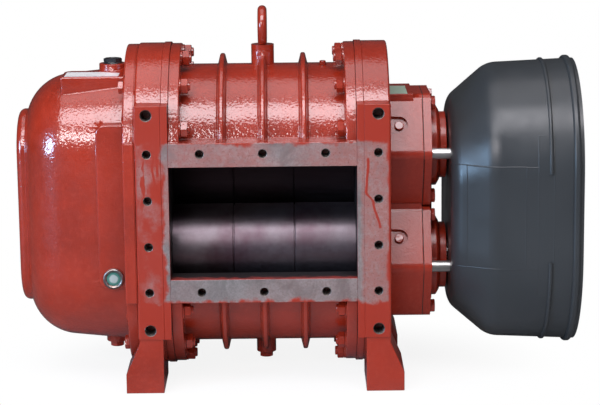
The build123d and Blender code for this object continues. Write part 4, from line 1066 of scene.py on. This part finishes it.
@dataclass
class PumpBody:
    """Casing, side plates and heads: everything that carries the two joint faces.

    Columns and rows are distances of the tapped holes from the machine's middle.
    """

    chamber_radius: float = 103.0 * MM
    bearing_radius: float = 51.0 * MM
    face_depth: float = 1.0 * MM
    port_half_height: float = 73.0 * MM
    housing_x: float = 163.0 * MM
    hole_depth: float = 24.0 * MM
    hole_radius: float = 7.5 * MM
    bar_columns: tuple[float, ...] = (0.0, 80.0 * MM)
    bar_rows: tuple[float, ...] = (90.0 * MM,)
    head_columns: tuple[float, ...] = (147.0 * MM,)
    front_rows: tuple[float, ...] = (30.0 * MM, 90.0 * MM, 140.0 * MM)
    back_rows: tuple[float, ...] = (0.0, 45.0 * MM, 90.0 * MM, 135.0 * MM)
    slack: float = 1.0 * MM
    plate_round: float = 0.4 * MM
    face_round: float = 0.9 * MM

    def is_joint(self, centre: Vector, normal: Vector) -> bool:
        """Return whether a face is part of a joint face."""
        return abs(normal.y) > 0.99 and abs(centre.y) > PLAN.port_y - self.face_depth

    def is_hole(
        self, centre: Vector, normal: Vector, columns: Iterable[float], rows: Iterable[float]
    ) -> bool:
        """Return whether a face is a wall of a tapped hole in a joint face.

        Args:
            centre: Middle of the face.
            normal: Normal of the face.
            columns: Columns of the holes, along the shafts.
            rows: Rows of the holes, above and below the middle.

        Returns:
            True for a wall of a hole.
        """
        across = min(abs(abs(centre.x) - column) for column in columns)
        height = min(abs(abs(centre.z - PLAN.middle) - row) for row in rows)
        near = hypot(across, height) < self.hole_radius
        deep = PLAN.port_y - abs(centre.y) < self.hole_depth + self.slack
        return abs(normal.y) < 0.3 and near and deep

    def casing(self, centre: Vector, normal: Vector) -> Skin:
        """Pick the finish of a casing face.

        Args:
            centre: Middle of the face.
            normal: Normal of the face.

        Returns:
            The place of the finish.
        """
        if self.is_joint(centre, normal):
            return Skin.JOINT
        radial = nearest_shaft(centre)
        in_bore = radial.length < self.chamber_radius + 2 * self.slack
        if abs(normal.x) < 0.1 and in_bore and radial.dot(normal) < 0:
            return Skin.BORE
        if self.is_hole(centre, normal, self.bar_columns, self.bar_rows):
            return Skin.THREAD
        between = abs(centre.x) < PLAN.chamber - self.slack
        level = abs(centre.z - PLAN.middle) < self.port_half_height + self.slack
        return Skin.PORT if between and level else Skin.PAINT

    def plate(self, centre: Vector, normal: Vector) -> Skin:
        """Pick the finish of a side plate face.

        Args:
            centre: Middle of the face.
            normal: Normal of the face.

        Returns:
            The place of the finish.
        """
        if self.is_joint(centre, normal):
            return Skin.JOINT
        inner = abs(centre.x) < PLAN.chamber + self.slack and abs(normal.x) > 0.9
        return Skin.PORT if inner else Skin.PAINT

    def head(self, centre: Vector, normal: Vector) -> Skin:
        """Pick the finish of a head face.

        Args:
            centre: Middle of the face.
            normal: Normal of the face.

        Returns:
            The place of the finish.
        """
        if self.is_joint(centre, normal):
            return Skin.JOINT
        if nearest_shaft(centre).length < self.bearing_radius and abs(normal.x) < 0.5:
            return Skin.BORE
        rows = self.front_rows if centre.y < 0 else self.back_rows
        if self.is_hole(centre, normal, self.head_columns, rows):
            return Skin.THREAD
        return Skin.FINE if centre.x > self.housing_x else Skin.PAINT

    def build(self) -> None:
        """Build the five castings."""
        # Bore faces take the near-black painted shade.
        finishes = (ENAMEL, JOINT_FACE, PORT_WALL, BORE_PAINTED_SHADE, THREADS, ENAMEL_FINE)
        Casting("casing", finishes, self.face_round, pick=self.casing).build()
        for end in ("gear", "drive"):
            Casting(f"side_plate_{end}", finishes, self.plate_round, 2, self.plate).build()
            Casting(f"head_{end}", finishes, self.face_round, pick=self.head).build()


@dataclass
class Label:
    """Bare sticker on a level pad, between two corners in millimetres."""

    name: str
    finish: Moulded
    low: Pair
    high: Pair
    level: float
    thickness: float = 0.15 * MM
    corner: float = 1.5 * MM

    def build(self) -> None:
        """Build the sticker with rounded corners."""
        bm = bmesh.new()
        bmesh.ops.create_cube(bm, size=1.0)
        low, high = (Vector((*corner, 0.0)) * MM for corner in (self.low, self.high))
        up = Vector((0.0, 0.0, self.thickness))
        bmesh.ops.scale(bm, vec=high - low + up, verts=bm.verts)
        bmesh.ops.translate(bm, vec=(low + high + up) / 2, verts=bm.verts)
        bmesh.ops.translate(bm, vec=(0.0, 0.0, self.level), verts=bm.verts)
        round_edges(bm, self.corner, 5, lambda edge: edge.verts[0].co.xy == edge.verts[1].co.xy)
        bmesh.ops.recalc_face_normals(bm, faces=bm.faces)
        finish_piece(self.name, bm, Body.HOUSING, Slot.PAINT, (self.finish,))


@dataclass
class Fastening:
    """A group of equal nuts or screws with one direction, each turned a little by its number."""

    name: str
    shape: Turned
    places: list[Triple]
    out: Triple
    node: str
    finish: Finish = ENAMEL_SMOOTH
    slot: Slot = Slot.PAINT
    turn: float = 0.0
    scatter: float = 0.0
    scatter_step: float = 12.9
    scatter_start: float = 4.1
    smooth: float = 32.0

    def build(self) -> None:
        """Build the group as one piece that stands for its node."""
        bm = bmesh.new()
        for number, place in enumerate(self.places):
            swing = sin(self.scatter_step * number + self.scatter_start)
            self.shape.add_to(bm, placed(place, self.out, self.turn + self.scatter * swing))
        bmesh.ops.recalc_face_normals(bm, faces=bm.faces)
        look = (self.slot, (self.finish,), (self.node,), self.smooth)
        finish_piece(self.name, bm, Body.HOUSING, *look)


@dataclass
class GearCover:
    """Oil bath cover with its filler, its sight glass, its plug and its bare white label."""

    flange_x: float = -178.0 * MM
    stud_ring: float = 127.5 * MM
    stud_angles: Pair = (47.5, 132.5)
    filler: Triple = (-198.0 * MM, 0.0, 413.0 * MM)
    drain: Triple = (-202.0 * MM, 0.0, 35.0 * MM)
    sight: Triple = (-195.0 * MM, -113.0 * MM, 147.0 * MM)
    pad_level: float = 403.0 * MM
    edge: float = 1.1 * MM
    screw: Turned = hex_screw(16.0, 6.5, 5.0, 29.0)
    plug: Turned = hex_screw(17.0, 7.0, 6.5, 10.0)
    filler_plug: Turned = Turned(
        (
            *((8.2, -12.0), (9.0, -11.0), (9.0, 0.0)),
            *((12.3, 0.0), (12.5, 0.3), (12.2, 0.9), (11.5, 1.6)),
            *((10.8, 2.1, Form.HEX), (10.8, 5.6, Form.HEX), (10.835, 6.5, Form.CONE)),
            *((10.23, 6.5), (7.92, 6.4), (7.48, 5.6), (3.3, 5.6)),
        ),
        10.8,
    )
    sight_ring: Turned = Turned(
        (
            *((9.0, -9.0), (10.5, -9.0), (10.5, 0.0), (13.2, 0.0), (13.5, 0.4), (13.5, 3.4)),
            *((13.0, 4.5), (12.2, 4.95), (11.0, 5.0), (10.4, 4.7), (9.2, 3.6), (9.0, 3.0)),
        ),
        segments=48,
        hollow=True,
    )
    sight_dome: Turned = Turned(
        ((8.9, 0.0), (8.95, 2.6), (7.5, 3.1), (4.0, 3.4), (1.0, 3.5)), segments=48
    )

    def build_sight(self) -> None:
        """Build the sight glass: a rounded ring and a slightly domed lens."""
        for name, shape, slot, finish, node in (
            ("sight_ring", self.sight_ring, Slot.ZINC, FITTING, "sight_glass_ring"),
            ("sight_lens", self.sight_dome, Slot.GLASS, LENS, "sight_glass_lens"),
        ):
            bm = bmesh.new()
            shape.add_to(bm, placed(self.sight, (0, -1, 0)))
            finish_piece(name, bm, Body.HOUSING, slot, (finish,), (node,))

    def build(self) -> None:
        """Build the cover and its fittings."""
        dress("cover_gasket", ENAMEL_SMOOTH)
        Casting("gear_cover", (ENAMEL,), self.edge).build()
        black = {"finish": BLACK_PLASTIC, "slot": Slot.BLACK}
        filler = ("filler_plug", self.filler_plug, [self.filler], (0, 0, 1), "oil_filler_plug")
        Fastening(*filler, **black, turn=22.0).build()
        self.build_sight()
        places = [(self.flange_x, *yz) for yz in ring_places(self.stud_ring, self.stud_angles)]
        screws = ("cover_screw_heads", self.screw, places, (-1, 0, 0), "cover_screws")
        Fastening(*screws, scatter=40.0).build()
        Fastening("cover_drain", self.plug, [self.drain], (0, 0, -1), "cover_drain_plug").build()
        Label("cover_label", WHITE_LABEL, (-257.0, -56.0), (-187.0, -16.0), self.pad_level).build()


@dataclass
class FlangeStuds:
    """The studs, washers and nuts that clamp the heads and side plates to the casing."""

    ring: float = 127.5 * MM
    angles: tuple[float, ...] = (20.0, 47.5, 75.0, 105.0, 132.5, 160.0)
    seat: float = 106.0 * MM
    nut: Turned = hex_nut(18.0, 10.8, 6.0, 3.0, 37.0, 1.8)

    def build(self) -> None:
        """Build both rings of nuts."""
        for side, end in ((-1, "gear"), (1, "drive")):
            places = [(side * self.seat, *yz) for yz in ring_places(self.ring, self.angles)]
            nuts = (f"flange_nuts_{end}", self.nut, places, (-side, 0, 0), f"flange_bolts_{end}")
            Fastening(*nuts, scatter=47.0).build()


@dataclass
class DriveEnd:
    """Bearing caps with their screws, and the bare green label."""

    cap_face: float = 219.0 * MM
    cap_round: float = 1.2 * MM
    bolt_ring: float = 71.5 * MM
    bolt_angles: tuple[float, ...] = (60.0, 120.0, 240.0, 300.0)
    pad_level: float = 374.42 * MM
    screw: Turned = hex_screw(16.0, 6.5, 5.0, 30.0, 1.0)

    def build(self) -> None:
        """Build the caps and their fittings."""
        for end in ("upper", "lower"):
            Casting(f"bearing_cap_{end}", (ENAMEL_FINE,), self.cap_round).build()
        places = [(self.cap_face, *yz) for yz in polar_places(self.bolt_ring, self.bolt_angles)]
        screws = ("cap_screw_heads", self.screw, places, (1, 0, 0), "cap_bolts")
        Fastening(*screws, scatter=50.0).build()
        Label("housing_label", GREEN_LABEL, (164.5, -46.0), (189.0, 26.0), self.pad_level).build()


@dataclass
class Guard:
    """Bell shaped guard on its four plated spacers."""

    edge: float = 0.5 * MM

    def build(self) -> None:
        """Dress the bell and build its spacers."""
        dress("guard", GUARD_PLASTIC)
        Casting("guard_spacers", (ZINC,), self.edge, 1, slot=Slot.ZINC).build()


@dataclass
class Rotors:
    """The two lobed rotors."""

    edge: float = 0.35 * MM

    def build(self) -> None:
        """Build the rotors with their edges eased."""
        # The upper rotor takes the darker copy of the steel, a painted shade.
        for end, body, steel in (
            ("upper", Body.DRIVEN, ROTOR_SHADED), ("lower", Body.DRIVE, ROTOR_STEEL)
        ):
            Casting(f"rotor_{end}", (steel,), self.edge, 1, body=body, slot=Slot.ROTOR).build()


@dataclass
class CasingFittings:
    """Drain plug under the casing."""

    drain: Triple = (0.0, 0.0, 18.0 * MM)
    plug: Turned = hex_screw(17.0, 7.0, 6.0, 10.0)

    def build(self) -> None:
        """Build the plug."""
        Fastening("casing_drain", self.plug, [self.drain], (0, 0, -1), "casing_drain_plug").build()


@dataclass(frozen=True)
class PlainNodes:
    """Every CAD node in the finish of its slot; pieces built later stand for some of them."""

    finishes: tuple[tuple[Slot, Finish], ...] = (
        (Slot.PAINT, ENAMEL_SMOOTH),
        (Slot.ROTOR, ROTOR_STEEL),
        (Slot.SHAFT, SHAFT_STEEL),
        (Slot.BEARING, BEARING_STEEL),
        (Slot.ZINC, ZINC),
        (Slot.GUARD, GUARD_PLASTIC),
        (Slot.BLACK, BLACK_PLASTIC),
        (Slot.RUBBER, SEAL_RUBBER),
        (Slot.GASKET, GASKET),
        (Slot.GLASS, LENS),
    )

    def build(self) -> None:
        """Dress each node of the record."""
        by_slot = dict(self.finishes)
        parts = frame["record"]["subparts"]
        for part in parts:
            dress(part["node"], by_slot[Slot(part["material_slot"])])
        LOG.info("plain nodes: %d", len(parts))


def main() -> None:
    """Build the studio and the machine."""
    logging.basicConfig(level=logging.INFO, format="%(name)s %(message)s")
    machine = (PumpBody, GearCover, FlangeStuds, DriveEnd, Guard, Rotors, CasingFittings)
    for assembly in (Studio, PlainNodes, *machine):
        assembly().build()


if __name__ == "__main__":
    main()
